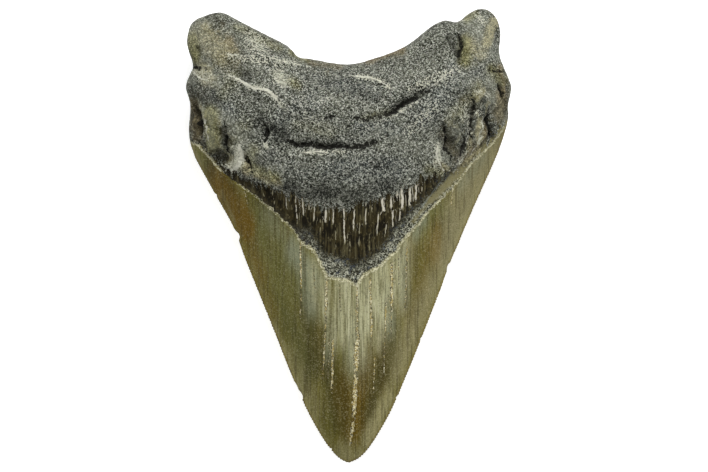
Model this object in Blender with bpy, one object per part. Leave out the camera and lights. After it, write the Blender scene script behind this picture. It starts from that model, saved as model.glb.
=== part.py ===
"""Fossil megalodon tooth, one solid, lying on its flatter labial face with the bulging lingual face up.

X runs across the tooth, Y from the tip to the root and Z up, with the origin under the middle of its box.
A square sheet is stretched over the outline and extruded, so that it has an upper and a lower skin. Each
vertex then gets its height from the sections of the tooth, and each skin gets its ledges, cracks and hollows.
"""

import math

import bmesh
import bpy
import numpy as np
from mathutils import Vector, noise

MM = 0.001

# Driving dimensions, in millimetres
COLUMNS, ROWS = 64, 36  # cells of the sheet, across the tooth and from its cutting edge to its base
EVENNESS = 0.85  # 0 spaces the cells evenly over the sheet, 1 over the finished surface
TIP_CROWDING = 0.35  # share by which the columns draw in towards the tip
EDGE_THICKNESS = 0.5  # of the cutting edge
ROOT_EDGE_THICKNESS = 1.4  # of the upright band round the root
BASE_ROUNDING, LABIAL_ROUNDING = 13.0, 6.0  # how far in the root's end is rounded, upper and lower skin
ENAMEL_STEP = 0.6  # how far the enamel stands above the band behind it
BONE_STEP = 0.5  # how far the root's bone stands above that band
LABIAL_STEP = 0.45  # how far the enamel stands proud of the bone on the labial face
STEP_WIDTH = 2.0
LUMPS = [(9.0, 0.45), (4.5, 0.25)]  # spacing and height of the root's swellings
MARGIN_LUMPS = 2.0  # how many times as high they are at the root's sides

# The outline seen from above, in four runs that follow each other round the tooth
CUTTING_EDGE = [
    (-37.0, 22.2), (-36.5, 19.7), (-33.5, 14.1), (-29.3, 6.6), (-27.3, 2.9), (-24.4, -4.6), (-21.4, -12.1),
    (-16.9, -23.3), (-12.5, -34.5), (-9.0, -42.0), (-5.7, -47.7), (-2.7, -51.5), (0.0, -53.0), (2.5, -51.9),
    (4.8, -49.5), (8.3, -43.9), (11.1, -38.3), (15.8, -27.0), (20.2, -15.8), (26.0, -0.9), (30.0, 8.5),
    (34.2, 17.8), (36.3, 23.4),
]
RIGHT_FLANK = [
    (37.3, 27.6), (37.3, 30.9), (38.0, 34.8), (36.6, 38.8), (35.2, 43.0), (35.6, 47.2), (34.7, 50.5),
    (33.1, 52.5),
]
BASE = [
    (30.3, 53.0), (27.4, 51.4), (25.3, 49.8), (22.5, 50.4), (19.5, 49.1), (15.5, 45.8), (12.0, 43.7),
    (6.4, 41.6), (-0.1, 40.1), (-8.5, 41.3), (-11.8, 41.8), (-13.9, 44.2), (-20.7, 47.7), (-26.0, 50.5),
]
LEFT_FLANK = [
    (-30.0, 52.3), (-34.7, 51.0), (-36.8, 49.4), (-37.7, 45.8), (-37.3, 43.6), (-36.2, 39.8), (-37.1, 37.7),
    (-38.0, 34.9), (-37.0, 30.9), (-37.3, 25.3),
]
TIP, NOTCH = CUTTING_EDGE[12], BASE[8]
CHIPS = [(-26.5, 0.9, 0.6), (23.6, -7.2, 0.5), (-11.9, -36.2, 0.3)]  # x, y and depth, in the cutting edge
CHIP_REACH = 1.6

# Heights along the tooth, as (y, height) from the tip to the root
CREST = [
    (-53, 2.6), (-49, 4.8), (-40, 8.4), (-25, 13.0), (-10, 17.0), (0, 19.3), (10, 21.4), (20, 22.7),
    (28, 22.9), (36, 21.4), (45, 18.6), (53, 16.4),
]
RIM = [(-53, 1.7), (-40, 2.1), (-15, 3.0), (10, 4.4), (22, 5.6), (32, 7.2), (53, 8.6)]
LABIAL = [(-53, 1.0), (-47, 0.4), (-36, -0.2), (0, -0.3), (24, -0.2), (34, 0.5), (44, 1.5), (53, 2.6)]
# How a skin falls from its crest to the rim: 1 - |t| ** FULLNESS, raised to FALL
FULLNESS = [(-53, 1.9), (-10, 2.0), (10, 2.2), (22, 2.4), (32, 2.8), (53, 3.0)]
FALL = [(-53, 1.0), (-30, 1.12), (-5, 1.08), (10, 0.86), (20, 0.68), (30, 0.5), (53, 0.48)]
LABIAL_FULLNESS = 3.0
LABIAL_FALL = [(-53, 0.95), (15, 0.95), (32, 0.6), (53, 0.55)]
ROOT_STARTS, ROOT_FULL = 12.0, 32.0  # the rim turns from an edge to an upright band between these

# Where the enamel ends and where the bone begins on the upper skin, from left to right
ENAMEL_LINE = [
    (-37.0, 22.3), (-33.9, 20.4), (-29.7, 15.6), (-25.6, 12.3), (-20.1, 8.3), (-13.0, 1.9), (-11.2, -0.9),
    (-7.6, -3.6), (-4.6, -9.2), (0.2, -10.2), (1.8, -11.3), (3.2, -9.2), (6.8, -7.1), (11.3, -3.0),
    (14.4, 1.2), (17.9, 5.3), (23.5, 10.9), (28.3, 16.8), (33.9, 22.4), (37.3, 27.5),
]
BONE_LINE = [
    (-37.0, 22.5), (-29.5, 16.2), (-25.0, 13.6), (-18.6, 11.5), (-11.5, 9.1), (-7.7, 7.3), (-0.4, 6.2),
    (3.9, 8.0), (10.9, 10.4), (16.2, 13.0), (22.7, 14.7), (28.4, 17.2), (37.3, 27.7),
]
# Where the enamel ends on the lower skin, a low arch
LABIAL_LINE = [
    (-37.3, 23.0), (-30.0, 24.6), (-20.0, 28.2), (-9.0, 30.4), (3.0, 30.8), (14.0, 29.8), (25.0, 27.4),
    (37.3, 26.8),
]

# Open cracks across the root, each with its depth and half its width
GROOVES = [
    ([(-13.6, 22.1), (-6.4, 21.0), (-0.8, 20.8), (4.7, 21.4), (10.0, 24.0)], 0.7, 1.4),
    ([(1.5, 27.2), (7.1, 27.9), (10.2, 29.0), (15.2, 31.9), (20.3, 35.3), (23.8, 37.8)], 0.7, 1.4),
    ([(25.3, 49.0), (26.1, 46.5), (26.0, 42.0)], 1.2, 1.6),
    ([(-36.0, 40.0), (-32.5, 39.3), (-29.0, 37.6)], 0.8, 1.6),
]
# Hollows and swellings: x, y, half length, half width, turn in degrees and depth (a swelling is negative)
HOLLOWS = [
    (-34.0, 27.4, 5.4, 2.4, 92, 1.2),
    (-29.7, 19.8, 3.0, 2.3, 120, 1.2),
    (-27.4, 17.4, 2.6, 2.6, 0, 0.7),
    (-23.6, 18.6, 3.2, 2.5, 100, 0.7),
    (-30.6, 25.4, 5.2, 2.3, 95, -0.6),
    (-15.8, 37.0, 2.8, 2.6, 0, 0.5),
    (30.4, 24.6, 3.8, 2.6, 105, 1.3),
    (33.0, 29.0, 3.0, 2.3, 100, 0.6),
    (23.9, 21.6, 4.8, 3.0, 98, 1.3),
    (19.4, 20.0, 3.8, 2.2, 95, -0.4),
    (28.4, 30.4, 2.8, 2.5, 60, 0.8),
    (33.4, 36.0, 3.4, 2.4, 60, 0.7),
    (31.0, 47.0, 4.5, 2.6, 75, -0.8),
    (-31.5, 46.0, 4.0, 3.4, 20, -0.7),
]
LABIAL_HOLLOWS = [
    (-22.0, 37.5, 5.0, 3.0, 150, 0.8),
    (21.0, 38.0, 5.0, 3.0, 30, 0.8),
    (0.0, 35.5, 9.0, 2.6, 0, 0.6),
    (-31.5, 31.0, 3.4, 2.4, 70, 0.9),
    (31.5, 32.5, 3.4, 2.4, 110, 0.9),
]

COLOUR, ROUGHNESS = (0.125, 0.118, 0.075, 1.0), 0.6


def smooth_curve(points, closed=False, steps=20):
    """The points of a smooth curve through the given ones, with steps for each span."""
    p = np.array(points, float)
    before, after = (p[-1], p[0]) if closed else (2 * p[0] - p[1], 2 * p[-1] - p[-2])
    ring = np.vstack([before, p, after, p[1] if closed else after])
    spans = len(p) if closed else len(p) - 1
    share = np.arange(steps)[:, None] / steps
    curve = []
    for i in range(spans):
        a, b, c, d = ring[i : i + 4]
        bend = 2 * a - 5 * b + 4 * c - d
        twist = 3 * b - a - 3 * c + d
        curve.append(0.5 * (2 * b + (c - a) * share + bend * share**2 + twist * share**3))
    return np.vstack([*curve, p[0] if closed else p[-1]])


def along(curve, share):
    """Points at the given shares of a curve's length."""
    walked = np.append(0, np.cumsum(np.linalg.norm(np.diff(curve, axis=0), axis=1)))
    at = share * walked[-1]
    return np.stack([np.interp(at, walked, curve[:, 0]), np.interp(at, walked, curve[:, 1])], axis=1)


def profile(stations, y):
    """A smooth value through (y, value) stations."""
    curve = smooth_curve(stations)
    return np.interp(y, curve[:, 0], curve[:, 1])


def ease(value, low, high):
    """0 below low, 1 above high and a smooth step between them."""
    s = np.clip((value - low) / (high - low), 0, 1)
    return s * s * (3 - 2 * s)


def nearest(xy, curve):
    """The nearest point of a curve to each point, and how far it is."""
    start, run = curve[:-1], np.diff(curve, axis=0)
    run_squared = np.maximum((run**2).sum(axis=1), 1e-9)
    away = xy[:, None, :] - start
    share = np.clip((away * run).sum(axis=2) / run_squared, 0, 1)
    foot = start + share[:, :, None] * run
    far = np.linalg.norm(xy[:, None, :] - foot, axis=2)
    best = far.argmin(axis=1)
    rows = np.arange(len(xy))
    return foot[rows, best], far[rows, best]


def beyond(xy, line):
    """The distance from a line that runs from left to right, positive on the root's side of it."""
    curve = smooth_curve(line)
    side = np.sign(xy[:, 1] - np.interp(xy[:, 0], curve[:, 0], curve[:, 1]))
    return side * nearest(xy, curve)[1]


def outline_runs():
    """The four sides of the outline, each from its first point to the first point of the next."""
    runs = [CUTTING_EDGE, RIGHT_FLANK, BASE, LEFT_FLANK]
    steps = 12
    curve = smooth_curve([point for run in runs for point in run], closed=True, steps=steps)
    ends = np.cumsum([0] + [len(run) * steps for run in runs])
    return [curve[a : b + 1] for a, b in zip(ends[:-1], ends[1:])]


def along_halves(curve, middle, share, crowding=0.0):
    """Points along a curve whose middle point comes at half the share, with steps that shrink towards it."""
    cut = np.argmin(np.linalg.norm(curve - middle, axis=1))
    to_middle = np.clip(2 * share, 0, 1)
    from_middle = np.clip(2 * share - 1, 0, 1)
    to_middle += crowding * (np.sin(to_middle * math.pi / 2) - to_middle)
    from_middle += crowding * (1 - np.cos(from_middle * math.pi / 2) - from_middle)
    first, second = along(curve[: cut + 1], to_middle), along(curve[cut:], from_middle)
    return np.where(share[:, None] < 0.5, first, second)


def stretched(across, up):
    """The sheet's rectangle stretched over the outline, with its corners on the shoulders and lobe tops."""
    cutting_edge, right_flank, base, left_flank = outline_runs()
    a, b = across[:, None], up[:, None]
    left_lobe, right_lobe = left_flank[0], base[0]
    left_shoulder, right_shoulder = cutting_edge[0], right_flank[0]
    sides = (
        (1 - b) * along_halves(cutting_edge, TIP, across, TIP_CROWDING)
        + b * along_halves(base[::-1], NOTCH, across)
        + (1 - a) * along(left_flank[::-1], up)
        + a * along(right_flank, up)
    )
    lower = (1 - a) * left_shoulder + a * right_shoulder
    higher = (1 - a) * left_lobe + a * right_lobe
    return sides - (1 - b) * lower - b * higher


def side_share(xy):
    """How far each point is from the middle of the tooth, from 0 to 1 at its outer sides."""
    cutting_edge, right_flank, _, left_flank = outline_runs()
    cut = np.argmin(np.linalg.norm(cutting_edge - TIP, axis=1))
    right_side = np.vstack([cutting_edge[cut:], right_flank])
    left_side = np.vstack([left_flank, cutting_edge[: cut + 1]])[::-1]
    right = np.interp(xy[:, 1], right_side[:, 1], right_side[:, 0])
    left = np.interp(xy[:, 1], left_side[:, 1], left_side[:, 0])
    half = np.maximum((right - left) / 2, 0.05)
    return np.clip(np.abs(xy[:, 0] - (left + right) / 2) / half, 0, 1)


def skin_heights(xy, upper):
    """The height of each point on the upper or the lower skin, before its ledges and hollows."""
    y, t, far = xy[:, 1], side_share(xy), nearest(xy, outline_runs()[2])[1]
    rim = profile(RIM, y)
    band = 0.5 * (EDGE_THICKNESS + (ROOT_EDGE_THICKNESS - EDGE_THICKNESS) * ease(y, ROOT_STARTS, ROOT_FULL))
    if upper:
        across = (1 - t ** profile(FULLNESS, y)) ** profile(FALL, y)
        base = np.sqrt(1 - (1 - np.clip(far / BASE_ROUNDING, 0, 1)) ** 2)
        return rim + band + (profile(CREST, y) - rim - band) * across * base
    across = (1 - t**LABIAL_FULLNESS) ** profile(LABIAL_FALL, y)
    base = np.sqrt(1 - (1 - np.clip(far / LABIAL_ROUNDING, 0, 1)) ** 2)
    return rim - band - (rim - band - profile(LABIAL, y)) * across * base


def hollow_depth(xy, hollows):
    """How deep the hollows are at each point, less the swellings."""
    depth_there = np.zeros(len(xy))
    for x, y, half_length, half_width, turn, depth in hollows:
        dx, dy = xy[:, 0] - x, xy[:, 1] - y
        c, s = math.cos(math.radians(turn)), math.sin(math.radians(turn))
        lengthwise, crosswise = (dx * c + dy * s) / half_length, (dy * c - dx * s) / half_width
        depth_there += depth * np.exp(-(lengthwise**2 + crosswise**2))
    return depth_there


def swelling(xy, layer):
    """The root's slow lumps, higher at its sides."""
    height = np.zeros(len(xy))
    for spacing, size in LUMPS:
        height += size * np.array([noise.noise(Vector((x, y, layer)) / spacing) for x, y in xy])
    return height * (1 + (MARGIN_LUMPS - 1) * ease(side_share(xy), 0.6, 0.95))


def upper_relief(xy):
    """What the lumps, ledges, cracks and hollows add to the upper skin."""
    past_enamel = ease(beyond(xy, ENAMEL_LINE), 0, STEP_WIDTH)
    past_bone = ease(beyond(xy, BONE_LINE), 0, STEP_WIDTH)
    height = BONE_STEP * past_bone - ENAMEL_STEP * past_enamel + swelling(xy, 0) * past_bone
    for line, depth, half_width in GROOVES:
        height -= depth * np.exp(-((nearest(xy, smooth_curve(line))[1] / half_width) ** 2))
    return height - hollow_depth(xy, HOLLOWS)


def lower_relief(xy):
    """What the labial face's ledge, lumps and hollows take from the lower skin."""
    past_enamel = ease(beyond(xy, LABIAL_LINE), 0, STEP_WIDTH)
    return past_enamel * (LABIAL_STEP + swelling(xy, 40) + hollow_depth(xy, LABIAL_HOLLOWS))


def even_shares(steps, lines, place):
    """The shares of the sheet at which each of its lines of cells is cut into equal lengths of upper skin."""
    fine, even = np.linspace(0, 1, 8 * steps + 1), np.arange(steps + 1) / steps
    shares = np.empty((steps + 1, lines + 1))
    for line, fixed in enumerate(np.arange(lines + 1) / lines):
        xy = place(fine, np.full_like(fine, fixed))
        path = np.column_stack([xy, skin_heights(xy, True)])
        walked = np.append(0, np.cumsum(np.linalg.norm(np.diff(path, axis=0), axis=1)))
        shares[:, line] = np.interp(even * walked[-1], walked, fine)
    return shares


def tooth_mesh():
    """The sheet, extruded to two skins and a rim, with each vertex at its place on the tooth."""
    bm = bmesh.new()
    bmesh.ops.create_grid(bm, x_segments=COLUMNS, y_segments=ROWS, size=0.5)
    made = bmesh.ops.extrude_face_region(bm, geom=bm.faces[:], use_keep_orig=True)
    upper_verts = [part for part in made["geom"] if isinstance(part, bmesh.types.BMVert)]
    bmesh.ops.translate(bm, verts=upper_verts, vec=(0, 0, 1))

    sheet = np.array([v.co for v in bm.verts]) + (0.5, 0.5, 0)
    column, row = np.rint(sheet[:, 0] * COLUMNS).astype(int), np.rint(sheet[:, 1] * ROWS).astype(int)
    across, up = column / COLUMNS, row / ROWS
    even_up = even_shares(ROWS, COLUMNS, lambda moving, fixed: stretched(fixed, moving))[row, column]
    up += EVENNESS * (even_up - up)
    xy = stretched(across, up)

    off_rim = ease(nearest(xy, np.vstack(outline_runs()))[1], 0, 2.5)
    top = skin_heights(xy, True) + upper_relief(xy) * off_rim
    bottom = np.maximum(skin_heights(xy, False) + lower_relief(xy) * off_rim, 0)
    for x, y, depth in CHIPS:
        near = np.exp(-((xy - (x, y)) ** 2).sum(axis=1) / CHIP_REACH**2)
        xy[:, 0] -= math.copysign(depth, x) * near
    for vert, (x, y), height in zip(bm.verts, xy, np.where(sheet[:, 2] > 0.5, top, bottom)):
        vert.co = Vector((x, y, height)) * MM
    bmesh.ops.recalc_face_normals(bm, faces=bm.faces[:])
    mesh = bpy.data.meshes.new("megalodon_tooth")
    bm.to_mesh(mesh)
    bm.free()
    mesh.shade_smooth()
    mesh.set_sharp_from_angle(angle=math.radians(50))
    return mesh


def fossil_material():
    """Mineralised bone and enamel, in the tooth's mean colour."""
    material = bpy.data.materials.new("fossil_tooth")
    material.use_nodes = True
    shader = material.node_tree.nodes["Principled BSDF"]
    shader.inputs["Base Color"].default_value = COLOUR
    shader.inputs["Roughness"].default_value = ROUGHNESS
    shader.inputs["Metallic"].default_value = 0.0
    return material


def main():
    for obj in list(bpy.data.objects):
        bpy.data.objects.remove(obj)
    tooth = bpy.data.objects.new("megalodon_tooth", tooth_mesh())
    bpy.context.scene.collection.objects.link(tooth)
    tooth.data.materials.append(fossil_material())


main()
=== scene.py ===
# %% [markdown]
# # A fossil megalodon tooth
#
# This lesson dresses one fossil shark tooth that lies on its flatter side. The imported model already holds
# the tooth as a plain solid at its real size: its outline, its bulge, its ledges and its main hollows.
# What is left is the part that the eye reads first: the serrated edge, the chipped lip of the enamel, the
# pitted bone, and all of the colours that millions of years in river mud have given it.
#
# The tooth grew in one piece, so it stays one piece here. X runs across the tooth, Y from its tip to its
# root, and Z up out of the bulging face. Blender counts in metres and a tooth is better told in
# millimetres, so the numbers below are millimetres, and MM turns them into metres.

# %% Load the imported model
import math

import bmesh
import bpy
import numpy as np
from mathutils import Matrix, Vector, kdtree, noise


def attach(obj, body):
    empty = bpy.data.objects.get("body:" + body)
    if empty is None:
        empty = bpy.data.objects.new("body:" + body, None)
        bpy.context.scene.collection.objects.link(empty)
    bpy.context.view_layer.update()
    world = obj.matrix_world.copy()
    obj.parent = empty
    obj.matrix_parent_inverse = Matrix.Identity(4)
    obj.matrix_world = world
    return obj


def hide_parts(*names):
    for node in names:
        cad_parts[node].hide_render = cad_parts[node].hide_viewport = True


MM = 0.001
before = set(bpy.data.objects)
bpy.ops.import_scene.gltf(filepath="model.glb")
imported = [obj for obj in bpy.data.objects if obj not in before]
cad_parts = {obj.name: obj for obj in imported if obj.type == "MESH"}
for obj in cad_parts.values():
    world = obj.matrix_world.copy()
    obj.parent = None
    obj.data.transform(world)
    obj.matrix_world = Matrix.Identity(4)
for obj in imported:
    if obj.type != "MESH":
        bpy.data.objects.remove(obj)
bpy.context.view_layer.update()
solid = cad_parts["megalodon_tooth"]

# %% [markdown]
# ## The camera
#
# The tooth was photographed from straight above with a long lens, so that the near bulge and the far edge
# come out at the same scale. The camera therefore stands well back. Its lens is worked out from the width
# that the picture covers at the height of the cutting edge, which is what draws the outline.

# %% Camera over the bulging face
PICTURE_WIDTH = 708  # pixels
MM_PER_PIXEL = 0.2336
CAMERA_HEIGHT = 2.0  # metres
OUTLINE_HEIGHT = 5 * MM  # of the cutting edge above the floor
PICTURE_MIDDLE = (1.3 * MM, 0.05 * MM)  # the tooth sits a little left of the picture's middle

camera_data = bpy.data.cameras.new("camera")
camera = bpy.data.objects.new("camera", camera_data)
bpy.context.scene.collection.objects.link(camera)
camera.location = (*PICTURE_MIDDLE, CAMERA_HEIGHT)
camera_data.clip_end = 50.0
camera_data.sensor_fit = "HORIZONTAL"
covered = PICTURE_WIDTH * MM_PER_PIXEL * MM
camera_data.lens = camera_data.sensor_width * (CAMERA_HEIGHT - OUTLINE_HEIGHT) / covered
bpy.context.scene.camera = camera
print("the lens is", round(camera_data.lens), "mm long")

# %% [markdown]
# ## Floor and light
#
# A white table that glows a little, as a light table does, so that the tooth's shadow stays faint. The
# light is a few soft suns: a sun lights the floor evenly as far as the camera can see, and never shows in
# the picture itself. The strongest comes from beyond the root, because in the picture the lower lip of
# each crack in the root is bright. The sky is dim, because polished enamel seen from above would reflect a
# bright one and turn grey, but the camera sees it as pale as the floor. The table too is kept out of
# reflections, or the steep flanks of the enamel would mirror it as a haze.

# %% Floor
FLOOR_SIZE = 30.0  # metres
FLOOR_COLOUR = (0.7, 0.7, 0.69, 1.0)
FLOOR_GLOW = 0.74

floor_mesh = bmesh.new()
bmesh.ops.create_grid(floor_mesh, x_segments=1, y_segments=1, size=FLOOR_SIZE / 2)
floor_data = bpy.data.meshes.new("floor")
floor_mesh.to_mesh(floor_data)
floor_mesh.free()
floor = bpy.data.objects.new("floor", floor_data)
bpy.context.scene.collection.objects.link(floor)
floor_finish = bpy.data.materials.new("white_table")
floor_finish.use_nodes = True
paint = floor_finish.node_tree.nodes["Principled BSDF"].inputs
paint["Base Color"].default_value = FLOOR_COLOUR
paint["Roughness"].default_value = 0.9
paint["Specular IOR Level"].default_value = 0.1
paint["Emission Color"].default_value = (1, 1, 1, 1)
paint["Emission Strength"].default_value = FLOOR_GLOW
floor_data.materials.append(floor_finish)
floor.visible_glossy = False
print("the floor is", FLOOR_SIZE, "m wide")

# %% Suns
SUNS = [  # name, compass turn from +Y towards +X in degrees, elevation, strength and softness
    ("key", 12, 44, 2.6, 14),
    ("fill_right", 105, 50, 0.7, 40),
    ("fill_left", -80, 50, 0.6, 40),
    ("fill_tip", 178, 50, 0.3, 50),
]

for name, turn, elevation, strength, softness in SUNS:
    sun_data = bpy.data.lights.new(name, "SUN")
    sun_data.energy, sun_data.angle = strength, math.radians(softness)
    sun = bpy.data.objects.new(name, sun_data)
    heading, rise = math.radians(turn), math.radians(elevation)
    flat = math.cos(rise)
    from_sun = -Vector((math.sin(heading) * flat, math.cos(heading) * flat, math.sin(rise)))
    sun.rotation_euler = from_sun.to_track_quat("-Z", "Y").to_euler()
    sun.visible_glossy = name == "key"  # the fills light the tooth, but don't shine in its enamel
    bpy.context.scene.collection.objects.link(sun)
print(len(SUNS), "suns light the floor")

# %% Sky
SKY_GLOW = 0.14

sky = bpy.data.worlds.new("sky")
bpy.context.scene.world = sky
sky.use_nodes = True
sky_tree = sky.node_tree
sky_tree.nodes["Background"].inputs["Color"].default_value = (1, 1, 1, 1)
path = sky_tree.nodes.new("ShaderNodeLightPath")
glow = sky_tree.nodes.new("ShaderNodeMapRange")
glow.inputs["To Min"].default_value, glow.inputs["To Max"].default_value = SKY_GLOW, 1.0
sky_tree.links.new(path.outputs["Is Camera Ray"], glow.inputs["Value"])
sky_tree.links.new(glow.outputs["Result"], sky_tree.nodes["Background"].inputs["Strength"])
bpy.context.scene.view_settings.view_transform = "Standard"
print("the sky glows", SKY_GLOW, "and looks", glow.inputs["To Max"].default_value, "to the camera")

# %% [markdown]
# ## The tooth's surface, made fine
#
# The solid is faceted: about nine thousand loose triangles. It is copied, welded, and its triangles are
# paired into four-sided faces, because Catmull-Clark subdivision runs smoothest on those. The two edges
# that bound the cutting edge are creased, or the subdivision would melt the sharp rim away. Two rounds of
# subdivision give a vertex about every half millimetre.

# %% Copy, weld, pair and subdivide
CREASE_ANGLE = math.radians(38)
CREASED_BELOW = 24 * MM  # the cutting edge ends at the root
PAIR_ANGLE = math.radians(50)
PAIR_SHAPE = math.radians(75)
SUBDIVISIONS = 2

bm = bmesh.new()
bm.from_mesh(solid.data)
bmesh.ops.remove_doubles(bm, verts=bm.verts, dist=0.001 * MM)
bmesh.ops.join_triangles(
    bm, faces=bm.faces, angle_face_threshold=PAIR_ANGLE, angle_shape_threshold=PAIR_SHAPE
)
crease = bm.edges.layers.float.new("crease_edge")
for edge in bm.edges:
    middle = (edge.verts[0].co.y + edge.verts[1].co.y) / 2
    if edge.calc_face_angle(0) > CREASE_ANGLE and middle < CREASED_BELOW:
        edge[crease] = 1.0
quads = sum(len(face.verts) == 4 for face in bm.faces)
print(f"{len(bm.faces)} faces, of which {quads} have four sides")

coarse = bpy.data.meshes.new("tooth_coarse")
bm.to_mesh(coarse)
bm.free()
tooth = bpy.data.objects.new("tooth", coarse)
bpy.context.scene.collection.objects.link(tooth)
smoothing = tooth.modifiers.new("smoothing", "SUBSURF")
smoothing.levels = smoothing.render_levels = SUBDIVISIONS
bpy.context.view_layer.update()
shown = tooth.evaluated_get(bpy.context.evaluated_depsgraph_get())
fine = bpy.data.meshes.new_from_object(shown)
tooth.modifiers.clear()
tooth.data = fine
fine.name = "tooth"
print(len(fine.polygons), "faces after subdivision")

# %% [markdown]
# ## Lines on the tooth
#
# A tooth like this is read by its borders: where the enamel ends, where the dark band behind it (the
# bourlette) ends, and where cracks run. Each is a few listed points with a smooth curve through them.
# Two measures come from such a curve: how far a point of the surface is from it, and on which side.

# %% Curves and distances
def smooth_curve(points, steps=24):
    """The points of a smooth curve through the given ones, with steps for each span."""
    p = np.array(points, float)
    ring = np.vstack([2 * p[0] - p[1], p, 2 * p[-1] - p[-2]])
    share = np.arange(steps)[:, None] / steps
    spans = []
    for a, b, c, d in zip(ring, ring[1:], ring[2:], ring[3:]):
        bend, twist = 2 * a - 5 * b + 4 * c - d, 3 * b - a - 3 * c + d
        spans.append(0.5 * (2 * b + (c - a) * share + bend * share**2 + twist * share**3))
    return np.vstack([*spans, p[-1]])


def nearest_on(line, xy):
    """For each place, how far the curve is and the row of the curve's nearest point."""
    tree = kdtree.KDTree(len(line))
    for row, point in enumerate(line):
        tree.insert((point[0], point[1], 0), row)
    tree.balance()
    found = [tree.find((x, y, 0)) for x, y in xy]
    return np.array([f[2] for f in found]), np.array([f[1] for f in found])


def side_of(points, xy):
    """The distance from a line that runs from left to right, positive on the root's side."""
    line = smooth_curve(points, 60)
    far, _ = nearest_on(line, xy)
    return far * np.sign(xy[:, 1] - np.interp(xy[:, 0], line[:, 0], line[:, 1]))


print("a curve through 3 points has", len(smooth_curve([(0, 0), (1, 1), (2, 0)])), "points")

# %% [markdown]
# Three more helpers make soft edges: a smooth step, brush strokes that fade outwards, and noise. All of
# them work on whole arrays, one number for each vertex.

# %% Soft steps, strokes and noise
def ease(value, low, high):
    """0 below low, 1 above high and a smooth step between them."""
    s = np.clip((value - low) / (high - low), 0, 1)
    return s * s * (3 - 2 * s)


def strokes(xy, marks, squash=1.0):
    """Soft brush strokes: each is x1, y1, x2, y2, half width and strength. Overlaps keep the strongest.

    A squash below 1 makes the ends of lengthwise strokes fade out over a longer way."""
    painted = np.zeros(len(xy))
    squashed = xy * (1, squash)
    for x1, y1, x2, y2, half_width, strength in marks:
        start, run = np.array((x1, y1 * squash)), np.array((x2 - x1, (y2 - y1) * squash))
        share = np.clip(((squashed - start) @ run) / max(run @ run, 1e-9), 0, 1)
        far = np.linalg.norm(squashed - start - share[:, None] * run, axis=1)
        painted = np.maximum(painted, strength * np.exp(-((far / half_width) ** 2)))
    return painted


def rough(places, spacing, octaves=3, layer=0.0):
    """Fractal noise from about -1 to 1, with its largest lumps spacing apart."""
    offset = Vector((layer, layer, layer))
    return np.array(
        [noise.fractal(Vector(place) / spacing + offset, 0.8, 2.0, octaves) for place in places]
    )


print("halfway up, a soft step is", ease(0.5, 0, 1))

# %% [markdown]
# The borders themselves. The enamel line makes a deep V on this face and a shallow arch on the hidden one.
# The bone line is where the root's bone begins. Between the two lies the bourlette, whose lower part is
# mottled, below the mottle line.

# %% Borders
ENAMEL_LINE = [
    (-37, 22.3), (-33.9, 20.4), (-29.7, 15.6), (-25.6, 12.3), (-20.1, 8.3), (-13, 1.9), (-11.2, -0.9),
    (-9, -2.4), (-7.6, -3.6), (-5.5, -7.7), (-4.6, -9.2), (-1.8, -9.8), (0.2, -10.2), (1.8, -11.4),
    (2.9, -9.2), (4.8, -7.9), (6.8, -7.1), (8.8, -5.1), (11.3, -3), (12, -1.2), (14.4, 1.2), (17.9, 5.3),
    (21.6, 8.9), (25.1, 12.5), (28.3, 16.8), (33.9, 22.4), (37.3, 27.5),
]
BONE_LINE = [
    (-37, 22.5), (-29.5, 16.4), (-25, 13.7), (-22, 12.7), (-18.6, 11.5), (-14.1, 9.7), (-11.5, 9),
    (-7.6, 7.3), (-4.3, 6.5), (-0.4, 6.2), (1.3, 6.9), (3.9, 8.2), (7.1, 8.8), (10.9, 10.4), (14.1, 11.6),
    (16.2, 13.2), (18.4, 13.6), (21.1, 14.1), (22.8, 14.8), (28.4, 17.4), (37.3, 27.7),
]
MOTTLE_LINE = [
    (-37, 22.4), (-27, 13), (-24.4, 11.3), (-21.6, 9.3), (-17.9, 6.5), (-14, 3.1), (-9.7, 1.7),
    (-7.9, -0.2), (-6, -3.7), (-1.1, -5.3), (0.8, -6.7), (4.3, -5.3), (6.4, -3.9), (8.8, -1.1), (10.2, 1),
    (12, 3.1), (14.6, 5.9), (16.7, 7.8), (19.5, 10.1), (22.1, 13.4), (30, 19.4), (37.3, 27.6),
]
LABIAL_LINE = [
    (-37.3, 23), (-30, 24.6), (-20, 28.2), (-9, 30.4), (3, 30.8), (14, 29.8), (25, 27.4), (37.3, 26.8),
]
OUTLINE = [  # once round, from the tip
    (0, -53), (2.5, -51.9), (4.8, -49.5), (8.3, -43.9), (11.1, -38.3), (15.8, -27), (20.2, -15.8),
    (26, -0.9), (30, 8.5), (34.2, 17.8), (36.3, 23.4), (37.3, 27.6), (37.3, 30.9), (38, 34.8), (36.6, 38.8),
    (35.2, 43), (35.6, 47.2), (34.7, 50.5), (33.1, 52.5), (30.3, 53), (27.4, 51.4), (25.3, 49.8),
    (22.5, 50.4), (19.5, 49.1), (15.5, 45.8), (12, 43.7), (6.4, 41.6), (-0.1, 40.1), (-8.5, 41.3),
    (-11.8, 41.8), (-13.9, 44.2), (-20.7, 47.7), (-26, 50.5), (-30, 52.3), (-34.7, 51), (-36.8, 49.4),
    (-37.7, 45.8), (-37.3, 43.6), (-36.2, 39.8), (-37.1, 37.7), (-38, 34.9), (-37, 30.9), (-37.3, 25.3),
    (-37, 22.2), (-36.5, 19.7), (-33.5, 14.1), (-29.3, 6.6), (-27.3, 2.9), (-24.4, -4.6), (-21.4, -12.1),
    (-16.9, -23.3), (-12.5, -34.5), (-9, -42), (-5.7, -47.7), (-2.7, -51.5), (0, -53),
]
outline = smooth_curve(OUTLINE, 60)
walked = np.append(0, np.cumsum(np.linalg.norm(np.diff(outline, axis=0), axis=1)))
print("the outline is", round(walked[-1]), "mm long")

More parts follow.
